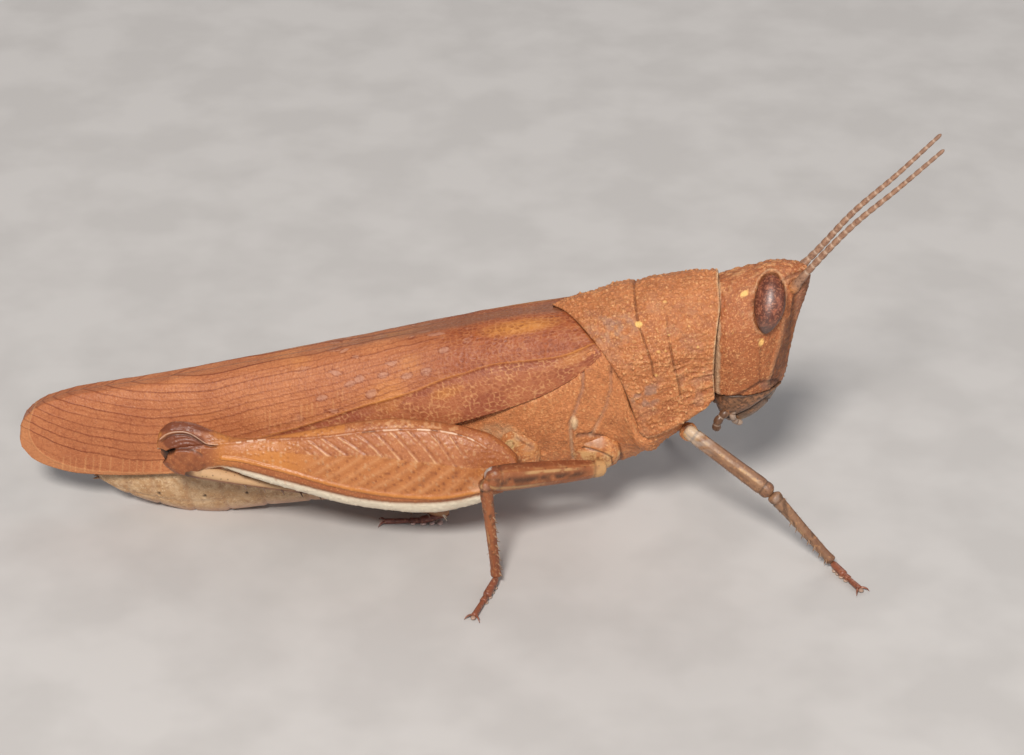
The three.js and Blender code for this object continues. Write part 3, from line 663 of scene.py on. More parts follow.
# the head's lines (points, width) and spots (centre, radii, turn), in pixels of the picture plane
STRIP = [(791, 322), (789, 338), (784, 352), (779, 366), (773, 384)], 9
STRIP_TOP = [(795, 296), (793, 310), (791, 324)], 4
FACE_EDGE = [(806, 284), (803, 300), (799, 318), (795, 334), (791, 350), (785, 368)], 5
FACE_CARINA = [(783, 318), (781, 335), (777, 350), (772, 368), (768, 382)], 4
UNDER_EYE = [(762, 337), (761, 352), (760, 368), (760, 384)], 2.2
JAW_LINE = [(778, 381), (767, 381), (759, 383), (749, 389), (736, 396), (722, 400)], 2.6
BROW_GROOVE = [(784, 279), (795, 274), (806, 271)], 3
TEMPLE_GROOVE = [(783, 284), (788, 300), (789, 312)], 2.5
SOCKET = (796, 285), (9, 8)
CHIN = (770, 384), (13, 7), -5
HEAD_BACK_EDGE = 718.5, 721.5
HEAD_SPOTS = [
    (1, (744.5, 293.8), (5.4, 3.1), -25),
    (1, (761.3, 342.5), (2.6, 4.8), 14),
    (0.3, (733, 333.5), (1.4, 1.4)),
    (0.3, (738, 312), (1.2, 1.2))]


def make_head():
    rows, columns = 150, 240
    t = (1 - np.cos(np.pi * np.linspace(0, 1, rows))) / 2
    z = HEAD_BOTTOM + (HEAD_TOP - HEAD_BOTTOM) * t
    zz, aa = around(z, columns)
    grid = head_at(zz, aa)
    grid[..., 0] -= 0.42 * unit(-np.cos(aa)) ** 0.5 * step(-4.2, -3.0, zz) * step(3.9, 3.3, zz)
    n = normals_of(grid)
    q = pix(grid)
    height, masks = granular(grid, 0.22, 0.8, 3)
    far = np.abs(grid[..., 1])
    # the front: two ridges beside the midline groove, then a dark strip outside them
    face = step(-1.2, 0.2, np.cos(aa) - 0.55)
    ridge = bell(far - 0.42, 0.14) * face
    height = height + 0.09 * ridge - 0.06 * bell(far, 0.2) * face
    strip = stroke(q, *STRIP)
    strip = np.maximum(strip, stroke(q, *STRIP_TOP))
    outline = stroke(q, *FACE_EDGE)
    carina = stroke(q, *FACE_CARINA)
    height = height - 0.05 * strip + 0.06 * carina
    # the groove from the eye to the jaw, and the cheek's lower border
    under_eye = stroke(q, *UNDER_EYE)
    height = height - 0.05 * under_eye
    jaw_line = stroke(q, *JAW_LINE)
    height = height - 0.05 * jaw_line
    # eye rim and socket
    e = eye_distance(grid)
    rim = bell(e - 1.1, 0.05)
    height = height + 0.045 * rim - 0.15 * (e < 1.0)
    # antenna socket, and the rugose roof of the head
    socket = spot(q, *SOCKET)
    height = height - 0.12 * socket + 0.05 * ring_on(socket, 1, 0.12)
    roof = step(2.9, 3.6, grid[..., 2])
    granules = roof * patchy(0.1, 0.5, grid, 0.17, 41)
    height = height + roof * 0.05 * np.abs(noise(grid, 0.35, 40)) + 0.05 * granules
    groove = stroke(q, *BROW_GROOVE) + stroke(q, *TEMPLE_GROOVE)
    height = height - 0.05 * unit(groove)
    grid = grid + n * height[..., None]
    # what lies below the cheek line is a plug inside the mouth parts, painted dark as shade
    below = (grid[..., 0] - CHEEK_X) * -CHEEK_SLOPE - (grid[..., 2] + CHEEK_DEPTH)
    tuck = step(0.0, 0.12, below)
    centre = np.stack([0.5 * (head_front(zz) + head_rear(zz)), 0 * zz, zz], -1)
    grid = grid + (centre - grid) * (0.22 * tuck)[..., None]
    edge = fade(*HEAD_BACK_EDGE, q[..., 0] + 1.5 * noise(grid, 0.3, 46))
    yellow = strongest(spot, q, HEAD_SPOTS)
    masks["yellow"] = 0.92 * step(0.05, 0.5, yellow + 0.12 * noise(grid, 0.12, 47))
    flecked = 0.8 + 0.35 * noise(grid, 0.16, 48)
    # the plug inside the mouth parts and the skin under the eye are painted dark: painted shade
    masks["dark"] = unit(np.maximum(0.95 * strip, 0.8 * outline) * flecked + 0.3 * under_eye
        + 0.85 * jaw_line + 0.6 * groove + 0.4 * socket + tuck + 0.6 * (e < 1.03))
    masks["pale"] = unit(0.5 * edge + 0.3 * rim * step(1.02, 1.1, e) + 0.12 * carina)
    masks["grey"] = unit(0.3 * step(0.3, 0.9, face) * (far < 0.9) * (1 - strip) * (1 - roof) + 0.5 * edge
        + 0.5 * spot(q, *CHIN))
    masks["grain_and_glint"] = unit(masks["grain_and_glint"] * (1 - 0.5 * roof) + 0.45 * granules
        + 0.3 * np.maximum(strip, outline) * patchy(0.2, 0.6, grid, 0.13, 49))
    masks["dark"] = unit(masks["dark"] + 0.22 * roof * patchy(0.0, 0.6, grid, 0.22, 44))
    tube("head_capsule", grid, HEAD_SHELL, masks, ["head"])


make_head()


def make_eyes():
    p = Paint("eye", (0.115, 0.028, 0.014), 0.42, 0.45, 0.15)
    p.lay(p.noise(0.26, 4, 0.65, 0.46, 0.6), (0.36, 0.105, 0.05), 0.85)
    p.lay(p.dots(0.2, 0.1, 0.6), (0.07, 0.018, 0.01), 0.4)
    p.lay(p.noise(0.1, 2, 0.5, 0.53, 0.66), (0.52, 0.21, 0.11), 0.5)
    p.lay("lower", (0.085, 0.062, 0.055), 0.75)
    p.lay("rim", (0.075, 0.026, 0.016), 0.75)
    p.bump(p.dots(0.075, 0.0, 0.6), 0.012, 0.35)
    material = p.done()
    for name, side in BOTH_SIDES:
        local = sphere(0.004, 90, 120)
        centre = EYE_CENTRE * [1, side, 1]
        egg = local.copy()
        egg[..., 0] *= 1 - 0.3 * unit(-local[..., 2]) ** 1.6
        egg[..., 0] -= 0.12 * unit(-local[..., 2]) ** 2 - 0.04
        egg[..., 2] = np.where(egg[..., 2] > 0, egg[..., 2] * 0.94, egg[..., 2])
        grid = centre + (egg * EYE_RADII) @ eye_axes(side).T
        masks = {"lower": step(-0.35, -0.95, local[..., 2]), "rim": step(0.55, 0.95, local[..., 0] ** 2)}
        tube(f"eye_{name}_lens", grid, material, masks, [f"eye_{name}"])


make_eyes()

# ---- pronotum ----

# the shield's lines, spots and zones, in pixels of the picture plane
SULCI = [
    (1, [(634, 284), (635, 300), (637, 317), (639, 326), (643, 337), (648, 352), (652, 364),
         (654, 377)], 2.0),
    (0.55, [(667, 318), (668, 336), (670, 349)], 1.6),
    (0.85, [(670, 345), (674, 366), (678, 380), (681, 398)], 1.9)]
WAVES_LEFT = 648, 680
WAVES_TOP = 340, 372
WAVES_END = 410, 420
ROOF_WAVES_LEFT = 560, 600
ROOF_WAVES_TOP = 255, 330
SHIELD_MARK = (638.8, 324.4), (4.4, 3.7)
SMALL_MARKS = [
    ((658.5, 351.7), (2.4, 2.0)), ((665.5, 351), (1.6, 1.4)), ((656, 375), (2.2, 1.8)),
    ((669, 335), (1.4, 1.4)), ((697.8, 346.8), (1.6, 1.6)), ((664.8, 302), (2.8, 1.3)),
    ((689, 326), (1.2, 1.2)), ((633, 414), (1.0, 2.2))]
GREY_ZONE = (612, 330), (34, 19), -12
PAINTED_GLINT_BAND = (655, 345), (26, 34), 20
GREY_SKIRT = (645, 394), (20, 16)


def make_pronotum():
    rows, half_columns = 190, 180
    u = np.linspace(0, 1, rows)
    v = np.linspace(-1, 1, 2 * half_columns + 1)
    uu, vv = np.meshgrid(u, v, indexing="ij")
    down = np.abs(vv)
    x = pronotum_hind(down) + (pronotum_fore(down) - pronotum_hind(down)) * uu
    y, z = saddle(x, down, 0.0)
    outer = np.stack([x, y * np.sign(vv), z], -1)
    n = normals_of(outer, False)
    q = pix(outer)
    height, masks = granular(outer, 0.26, 1.25, 21)
    sulcus = strongest(stroke, q, SULCI)
    keel = bell(vv, 0.022) * (1 - 0.6 * sulcus)
    bent = outer + 0.22 * np.stack([0 * uu, 0 * uu, noise(outer, 0.8, 60)], -1)
    swells = noise(bent * [0.42, 0.6, 1.5], 0.42, 61) + 0.35 * noise(outer * [0.6, 1, 1.6], 0.2, 62)
    waves = 1 - 2.4 * np.abs(swells)
    wavy = step(*WAVES_LEFT, q[..., 0]) * step(*WAVES_TOP, q[..., 1]) * fade(*WAVES_END, q[..., 1])
    wavy = np.maximum(wavy, 0.5 * step(*ROOF_WAVES_LEFT, q[..., 0]) * step(*ROOF_WAVES_TOP, q[..., 1]))
    border = np.minimum(uu, 1 - uu) * 8.5
    lip = bell(border - 0.22, 0.12) * 0.03
    skirt_lip = bell(1 - down - 0.02, 0.014) * 0.05
    height = (height * (1 + 0.5 * step(0.5, 0.0, uu)) - 0.08 * sulcus + 0.06 * keel + 0.042 * waves * wavy
        + lip + skirt_lip)
    height = height + 0.03 * fbm(outer, 0.55, 70)
    yellow = step(0.02, 0.45, spot(q, *SHIELD_MARK))
    for centre, radii in SMALL_MARKS:
        yellow = np.maximum(yellow, 0.6 * step(0.05, 0.7, spot(q, centre, radii)))
    height = height + 0.07 * yellow
    zone = spot(q, *GREY_ZONE) * (0.65 + 0.5 * noise(outer, 0.5, 80))
    # painted highlight: pale glint cells in a band over the shield, and pale wave crests
    band = np.maximum(zone, 0.55 * spot(q, *PAINTED_GLINT_BAND))
    first, _, name = cells(outer, 0.17, 81)
    painted_glint = fade(0.12, 0.34, first) * (name > 0.5) * step(0.05, 0.5, band)
    height = height + 0.04 * painted_glint
    masks["grain_and_glint"] = unit(masks["grain_and_glint"] + painted_glint + 0.3 * wavy * step(0.5, 1, waves))
    masks["pit"] = unit(masks["pit"] + 0.5 * wavy * step(0.3, -0.7, waves))
    masks["yellow"] = yellow
    masks["dark"] = unit(0.62 * sulcus + 0.6 * step(0.08, 0.0, border) * (uu < 0.5))
    masks["grey"] = unit(0.5 * step(0.0, 0.7, zone) * patchy(-0.5, 0.4, outer, 0.25, 90) * (1 - painted_glint)
        + 0.55 * step(0, 0.7, spot(q, *GREY_SKIRT)) * patchy(-0.2, 0.4, outer, 0.3, 92)
        + 0.3 * wavy * patchy(0.1, 0.6, outer, 0.6, 91))
    front = step(0.16, 0.0, (1 - uu) * 8.5) * (0.5 + 0.5 * patchy(-0.2, 0.5, outer, 0.25, 93))
    masks["pale"] = unit(0.8 * front + 0.25 * step(0.985, 1.0, down))
    thick = 0.34 * np.minimum(1, np.minimum(border / 0.35, (1 - down) * 5.2 / 0.3)) + 0.02
    outer = outer + n * (height * np.minimum(1, border / 0.1 + 0.3))[..., None]
    inner = outer - n * (thick + height)[..., None]
    rings = np.concatenate([outer, inner[:, ::-1][:, ::6]], 1)
    full = {k: np.concatenate([m, m[:, ::-1][:, ::6] * 0], 1) for k, m in masks.items()}
    tube("pronotum_shield", rings, SHELL, full, ["pronotum"], cap="ngon")


make_pronotum()

# ---- thorax ----

# the side plates' seams, lines, spots and zones, in pixels of the picture plane
HIND_SEAM = [(583, 366), (583, 388), (576, 409), (570, 423), (571.5, 444), (573, 458)]
MID_SEAM = [(611, 366), (611, 388), (606.6, 405), (598, 423), (590, 436)]
COXA_EDGE = [(578, 436), (590, 434), (604, 437), (617, 445), (622, 457), (617, 467), (604, 474)]
FORE_EDGE = [(650, 436), (664, 428), (676, 424), (690, 423)]
WRINKLE_HIGH = [(549, 413), (560, 411), (570, 409)], 3
WRINKLE_LOW = [(552, 419), (566, 416)], 2
KNOB = (574.3, 423), (4.2, 7.0)
BEIGE = (498, 436), (26, 16)
LOW_PART = 438, 474
LOW_PART_LEFT = 560, 600
PALE_SEAM_TOP = 405, 440


def make_thorax():
    tt, aa = around(np.linspace(0, 1, 200), 320)
    x = THORAX_REAR + (THORAX_FRONT - THORAX_REAR) * tt
    rise = (np.cos(aa) - EAVE_SHELF) / (1 - EAVE_SHELF)
    inside = step(-0.14, 0.0, rise)
    turned = np.where(rise > 0, np.arccos(unit(rise)) * np.sign(aa),
        np.where(rise > -0.14, np.sign(aa) * np.pi / 2, aa))
    half = thorax_half(x) + (thorax_core(x) - thorax_half(x)) * inside
    upper = np.cos(turned) > 1e-9
    rounding = np.where(upper, 2.2, 2.1)
    tall = np.where(upper, thorax_top(x) - thorax_eave(x), thorax_eave(x) - thorax_bottom(x))
    y = half * power(np.sin(turned), 2 / rounding)
    z = (thorax_eave(x)
        + tall * power(np.where(np.abs(np.cos(turned)) < 1e-9, 0, np.cos(turned)), 2 / rounding))
    x = THORAX_REAR + (head_rear(z) - 0.1 - THORAX_REAR) * tt
    y = y * (1 - 0.075 * step(-0.12, 0.12, z - tegmen_edge(x)) * step(5.7, 5.3, x))
    grid = np.stack([x, y, z], -1)
    n = normals_of(grid)
    n = np.where(inside[..., None] > 0.02, 0, n)
    q = pix(grid)
    height, masks = granular(grid, 0.25, 1.0, 101)
    seam_a = along(q, HIND_SEAM)[0]
    seam_b = along(q, MID_SEAM)[0]
    seam = np.maximum(fade(0.6, 2.4, seam_a), 0.7 * fade(0.6, 2.2, seam_b))
    ridge = np.maximum(bell(seam_a - 3.2, 1.2), 0.6 * bell(seam_b - 3.0, 1.2))
    knob = spot(q, *KNOB)
    ring = ring_on(knob, 0.95, 0.12)
    coxa_edge = along(q, COXA_EDGE)[0]
    coxa_seam = fade(0.5, 2.6, coxa_edge)
    fore_edge = fade(0.5, 2.0, along(q, FORE_EDGE)[0])
    wrinkle = stroke(q, *WRINKLE_HIGH) + stroke(q, *WRINKLE_LOW)
    height = (height - 0.09 * seam + 0.05 * ridge + 0.16 * knob - 0.06 * ring - 0.1 * coxa_seam
        - 0.06 * fore_edge + 0.05 * wrinkle)
    height = height + 0.04 * fbm(grid, 0.8, 120)
    grid = grid + n * height[..., None]
    low = step(*LOW_PART, q[..., 1]) * step(*LOW_PART_LEFT, q[..., 0])
    beige = spot(q, *BEIGE)
    masks["pale"] = unit(0.95 * step(0.0, 0.5, knob) + 0.35 * seam * step(*PALE_SEAM_TOP, q[..., 1])
        + 0.5 * step(0.0, 0.8, beige) * (0.6 + 0.4 * noise(grid, 0.3, 131)))
    masks["grey"] = unit(0.5 * seam + 0.35 * low * patchy(-0.1, 0.6, grid, 0.5, 133) + 0.35 * coxa_seam)
    masks["dark"] = unit(0.55 * coxa_seam + 0.5 * fore_edge)
    masks["yellow"] = 0 * tt
    tube("thorax_plates", grid, LIT_SIDES, masks, ["thorax"])


make_thorax()

# ---- forewings ----

MAIN_VEIN = eased([
    (600, 340), (575, 352), (555, 358), (504, 362.5), (487, 365), (463, 373.7), (448, 377), (428, 385),
    (418, 390),
    (388, 399), (361, 406), (309, 424), (280, 432), (250, 440), (225, 447)])
RIM_POINTS = np.array([
    (40, 397), (31, 414), (28, 432), (34, 446), (46, 457), (62, 464), (87, 470.5), (120, 472.5),
    (163, 473), (200, 471)])
INNER_RIM = eased(RIM_POINTS)
RIM_TIP, RIM_UNDER = slice(0, 6), slice(4, 9)
# The long veins run between these two lines of the picture plane, a fixed number of them side by side.
VEIN_TOP = profile([
    [10, 328], [30, 335], [60, 346], [100, 358], [150, 367], [200, 367.5], [260, 356], [320, 345],
    [380, 333.5], [450, 321], [540, 305], [620, 292]])
VEIN_LOW = profile([
    [10, 418], [30, 430], [60, 444], [100, 454.5], [150, 460], [200, 453], [260, 437], [320, 421.5],
    [380, 401.5], [450, 376.5], [540, 359.5], [620, 340]])
VEINS = 11

# the forewing's cells and spots, and where its parts begin and end, in pixels of the picture plane
CLOSED_CELLS = (350, 384), (383, 375), (407, 376), (426, 371), (444, 350), (322, 398)
CELL_SHAPE = (6.5, 3.6), -16
RED_TIP = (485, 407), (26, 15), -20
GOLD_BACK = (520, 327), (48, 9), -9
GOLD_VEIN = (447, 392), (20, 7), -18
GOLD_BASE = (575, 357), (26, 8), -25
TIP_END = 225, 330
BASE_START = 395, 470
COSTAL_START = 225, 290
CLOSED_START = 285, 320
CLOSED_END = 455, 480
LADDER_START = 48, 62
LADDER_END = 225, 300
LADDER_LOW = 470.5, 473
LADDER_TOP = 455
LADDER_LEVEL = 465
TUFTS_START = 238, 262
TUFTS_END = 335, 360
OUTSIDE_END = 150, 190
TROUGH_START = 270, 330
BLUSH_TIP_END = 70, 190
BORDER_START = 400, 440
RIDGE_START = 260, 430
BAR_PITCH = 9.5, 1.0
RUNG_PITCH = 8.6
TUFT_PITCH = 5.2


def wing_face(x, down):
    top, bottom = tegmen_ridge(x), tegmen_edge(x)
    flat = unit(down / RIDGE_SHARE)
    quarter = unit((down - RIDGE_SHARE) / (1 - RIDGE_SHARE)) * math.pi / 2
    out = (tegmen_half(x) - RIDGE_HALF) * np.sin(quarter) ** (2 / TEGMEN_ROUND)
    fall = (top - bottom) * np.cos(quarter) ** (2 / TEGMEN_ROUND)
    y = np.where(down < RIDGE_SHARE, WING_GAP + (RIDGE_HALF - WING_GAP) * flat, RIDGE_HALF + out)
    z = np.where(down < RIDGE_SHARE, top, bottom + fall)
    return y, z


def wing_paint():
    p = Paint("forewing", (0.42, 0.138, 0.052), 0.42, 0.38, 0.04)
    p.lay(p.noise(2.2, 4, 0.6, 0.4, 0.7), (0.58, 0.22, 0.085), 0.6)
    p.lay(p.noise(0.5, 4, 0.6, 0.5, 0.75, (0.35, 1, 1)), (0.38, 0.11, 0.04), 0.45)
    p.lay(p.noise(0.17, 4, 0.65, 0.5, 0.64), (0.30, 0.08, 0.028), 0.5)
    p.lay(p.noise(0.09, 3, 0.6, 0.55, 0.68), (0.66, 0.30, 0.13), 0.45)
    p.lay("blush", (0.25, 0.056, 0.026), 0.78)
    p.lay("base", (0.33, 0.072, 0.010), 0.72)
    p.lay("bright", (0.66, 0.27, 0.05), 0.7)
    p.lay("cell", (0.46, 0.24, 0.17), 0.5)
    p.lay("dark", (0.18, 0.036, 0.011), 0.88)
    p.lay("pale", (0.68, 0.345, 0.145), 0.72)
    # painted shade: the wing's flat top strip and its inner edge at the midline are darkened
    p.lay("ridge", (0.20, 0.095, 0.055), 0.6)
    fine = p.noise(0.13, 3, 0.6, 0.3, 0.7)
    p.bump(fine, 0.022, 0.8)
    p.roughness(fine, 0.4, 0.6)
    return p.done()


WING = wing_paint()


def covered(z):
    """Where the pronotum's hind edge crosses a height, so that the wing can pass under it."""
    down = np.linspace(0, 1, 60)
    _, height = saddle(pronotum_hind(down), down, 0.0)
    return np.interp(-z, -height, pronotum_hind(down))


def make_wing(name, side):
    rows, columns, inner_columns = 640, 124, 26
    u = np.linspace(0, 1, rows) ** 1.2
    x = TEGMEN_TIP + (TEGMEN_BASE - TEGMEN_TIP) * u
    v = np.linspace(0, 1, columns)
    xx, vv = np.meshgrid(x, v, indexing="ij")
    y, z = wing_face(xx, vv)
    grid = np.stack([xx, y, z], -1)
    n = normals_of(grid, False)
    n = n * np.sign((n * [0, 1, 0.6]).sum(-1, keepdims=True).mean())
    q = pix(grid)
    flat = np.stack([xx, vv * 6.5], -1)
    px, py = q[..., 0], q[..., 1]
    main = stroke(q, MAIN_VEIN, 1.5)
    above = -beside(q, MAIN_VEIN)
    below = step(-1, 2.5, -above)
    main_shade = stroke(q, MAIN_VEIN + [0.5, 2.6], 2.0)
    tip_end = fade(*TIP_END, px)
    base_end = step(*BASE_START, px)
    middle = (1 - tip_end) * (1 - base_end)
    costal = below * step(*COSTAL_START, px)
    field = 1 - costal
    # long veins, and short cross veins between them
    gap = (VEIN_LOW(px) - VEIN_TOP(px)) / VEINS
    level = (py - VEIN_TOP(px)) / gap + 0.1 * noise(flat, 0.9, 200) + 0.12 * middle * noise(flat, 0.5, 201)
    row = np.round(level)
    thin = np.abs(level - row) * gap
    strength = (0.55 + 0.35 * scramble(row[..., None].astype(int), 5)
        + 0.3 * noise(np.stack([flat[..., 0], row * 7.0], -1), 2.2, 202))
    inside = (row > 0.5) & (row < VEINS + 0.5) & (py < VEIN_LOW(px) + 1)
    veins = (fade(0.25, 1.0, thin) * strength * inside * field * (1 - 0.75 * base_end)
        * (0.75 + 0.25 * (1 - middle)))
    lane = np.floor(level)
    half = np.abs(level - lane - 0.5) * gap
    faint = (fade(0.3, 1.0, half) * 0.3
        * patchy(0.0, 0.5, np.stack([flat[..., 0], lane * 5.0], -1), 1.4, 203) * field)
    pitch = BAR_PITCH[0] - BAR_PITCH[1] * middle
    place = (px / pitch + 5 * scramble(lane[..., None].astype(int), 6) + 0.5 * noise(flat, 0.5, 204)
        - 0.25 * (level - lane) * noise(flat, 1.1, 205))
    post = np.round(place)
    bars = fade(0.3, 1.05, np.abs(place - post) * pitch)
    kept = scramble(np.stack([lane, post], -1).astype(int), 7)
    bars = bars * (kept > 0.55) * (0.2 + 0.1 * middle) * field * (1 - base_end) * (py < VEIN_LOW(px))
    # an irregular mesh ties the long veins together, and a few of its cells are closed and pale
    first_m, second_m, name_m = cells(flat / [1.7, 1.0], 0.36, 234)
    mesh = (fade(0.02, 0.13, second_m - first_m) * field * (1 - base_end) * (py < VEIN_LOW(px))
        * patchy(-0.5, 0.3, flat, 0.7, 235))
    chosen = (name_m > 0.9) * step(*CLOSED_START, px) * fade(*CLOSED_END, px) * field * inside
    cell = chosen * step(0.1, 0.24, second_m - first_m)
    outline = chosen * fade(0.04, 0.16, second_m - first_m)
    for place in CLOSED_CELLS:
        shut = out_from(spot(q, place, *CELL_SHAPE))
        cell = np.maximum(cell, step(0.95, 0.7, shut + 0.12 * noise(flat, 0.25, 243)))
        outline = np.maximum(outline, bell(shut - 0.92, 0.1) * (shut < 0.999))
    # a fine net at the wing's base and along its front border
    first, second, name_a = cells(flat / [1.25, 1.0], 0.24, 231)
    fine_net = fade(0.06, 0.24, second - first)
    patches = noise(flat, 0.5, 232)
    dark_net = (step(0.1, 0.26, second - first) * (name_a > 0.3) * base_end * field
        * unit(0.55 + 0.5 * patches))
    pale_base = fine_net * base_end * field * unit(0.5 + 0.5 * noise(flat, 0.45, 242))
    freckle = fade(0.15, 0.4, first) * (name_a > 0.8) * base_end * field
    pearl = fade(0.15, 0.36, first) * (name_a < 0.14) * base_end * field
    first_c, second_c, name_c = cells(flat / [1.15, 0.95], 0.25, 233)
    pale_net = (fade(0.04, 0.2, second_c - first_c) * costal
        * (0.2 + 0.8 * patchy(-0.35, 0.3, flat, 0.24, 240)))
    # the ladder of pale bars along the hind border of the tip
    rim = stroke(q, INNER_RIM, 1.5)
    edge_zone = (step(0, 1.5, py - VEIN_LOW(px)) * step(*LADDER_START, px) * fade(*LADDER_END, px)
        * fade(*LADDER_LOW, py))
    rung_at = (px / RUNG_PITCH + 0.45 * noise(np.stack([px * 0.045, 0 * px], -1), 0.5, 236)
        + 0.01 * (py - LADDER_LEVEL))
    rung = np.abs(rung_at - np.round(rung_at)) * RUNG_PITCH
    ladder = fade(0.25, 0.85, rung) * edge_zone * step(0, 4, py - LADDER_TOP)
    tuft = np.abs(px / TUFT_PITCH + 0.25 * noise(flat, 0.5, 237) - np.round(px / TUFT_PITCH)) * TUFT_PITCH
    tufts = (fade(0.3, 1.0, tuft) * step(*TUFTS_START, px) * fade(*TUFTS_END, px) * step(2, 10, above)
        * fade(20, 32, above) * patchy(0.0, 0.5, flat, 0.35, 238))
    dark_cell = (step(0.12, 0.3, second_c - first_c) * (name_c > 0.3) * costal
        * patchy(-0.4, 0.4, flat, 0.6, 241))
    pale_net = np.maximum.reduce([pale_net * 0.72, 0.5 * ladder, 0.45 * tufts, 0.3 * pearl, 0.34 * pale_base])
    rim_x, rim_y = RIM_POINTS.T
    beyond = px < np.interp(py, rim_y[RIM_TIP], rim_x[RIM_TIP])
    beneath = (px > rim_x[RIM_UNDER][0]) & (py > np.interp(px, rim_x[RIM_UNDER], rim_y[RIM_UNDER]))
    outside = ((beyond | beneath) * step(0.2, 1.2, along(q, INNER_RIM)[0]) * fade(*OUTSIDE_END, px)
        * step(0.1, 0.3, vv))
    # the flat top strip, darkened below as painted shade
    top = fade(RIDGE_SHARE * 0.6, RIDGE_SHARE * 1.6, vv + 0.04 * noise(flat, 0.8, 239))
    height = (0.035 * main + 0.022 * veins + 0.012 * bars + 0.01 * fine_net * base_end * field
        + 0.014 * pale_net)
    height = height - 0.015 * freckle + 0.02 * fbm(grid, 0.9, 250) + 0.02 * rim - 0.02 * main_shade
    trough = bell(above + 5, 4.0) * step(*TROUGH_START, px)
    height = height - 0.035 * trough
    # where the wing passes under the pronotum it is sunk and painted dark: painted shade
    cover = step(-0.12, 0.3, xx - covered(z))
    height = height * (1 - cover) - 0.52 * cover
    red_tip = spot(q, *RED_TIP)
    blush = unit(1.1 * red_tip + costal * (0.5 + 0.45 * patchy(-0.1, 0.6, flat, 0.8, 260))
        + 0.45 * trough
        + base_end * field * (0.7 + 0.4 * patchy(-0.2, 0.5, flat, 0.55, 261))
        + 0.2 * fade(*BLUSH_TIP_END, px))
    bright = unit(0.45 * main + 0.85 * spot(q, *GOLD_BACK) + 0.5 * spot(q, *GOLD_VEIN)
        + 0.35 * middle * patchy(0, 0.7, flat, 1.5, 262) + 0.5 * spot(q, *GOLD_BASE))
    border = fade(0.0, 0.02, 1 - vv)
    masks = {
        "dark": unit(veins + faint + bars + 0.34 * mesh * (1 - 0.3 * middle) + 0.7 * outline
            + 0.62 * dark_net + 0.4 * dark_cell + 0.25 * freckle + 0.35 * main_shade
            + 0.35 * border * step(*BORDER_START, px) + 0.5 * cover) * (1 - main * 0.8),
        "pale": unit(pale_net + 0.45 * rim + 0.3 * outside) * (1 - main),
        "blush": blush, "bright": bright, "cell": cell, "base": base_end * field * (0.75 + 0.25 * patches),
        # painted shade on the flat top strip and along the midline gap between the wings
        "ridge": unit(top * step(*RIDGE_START, px) * 0.85 + 0.8 * (vv < 0.012)),
    }
    outer = grid + n * height[..., None]
    keep = np.linspace(0, columns - 1, inner_columns).round().astype(int)[::-1]
    thick = 0.2 * np.minimum(1, np.minimum((1 - vv) * 12 + 0.15, np.minimum(u[:, None] * 30, 1) + 0.12))
    inner = (outer - n * thick[..., None])[:, keep]
    inner[..., 1] = np.maximum(inner[..., 1], WING_GAP)
    outer[..., 1] = np.maximum(outer[..., 1], WING_GAP)
    rings = np.concatenate([outer, inner], 1) * [1, side, 1]
    full = {k: np.concatenate([m, m[:, keep] * 0.5], 1) for k, m in masks.items()}
    tube(f"forewing_{name}_blade", rings, WING, full, [f"forewing_{name}"], cap="ngon")


make_wing("right", -1)
make_wing("left", 1)

# ---- abdomen ----

ABDOMEN_TIP, ABDOMEN_FRONT = -23.1, -1.7
SEGMENT_EDGES = [-4.0, -6.7, -9.3, -11.9, -14.3, -16.4, -18.3, -20.1, -21.6]


def ground_under(x):
    return -(RIDE_HEIGHT + x * SIN_P) / COS_P

# the breathing holes, in pixels of the picture plane
SPIRACLES = [(159, 494), (205, 496), (247, 493), (289, 489), (331, 484)]


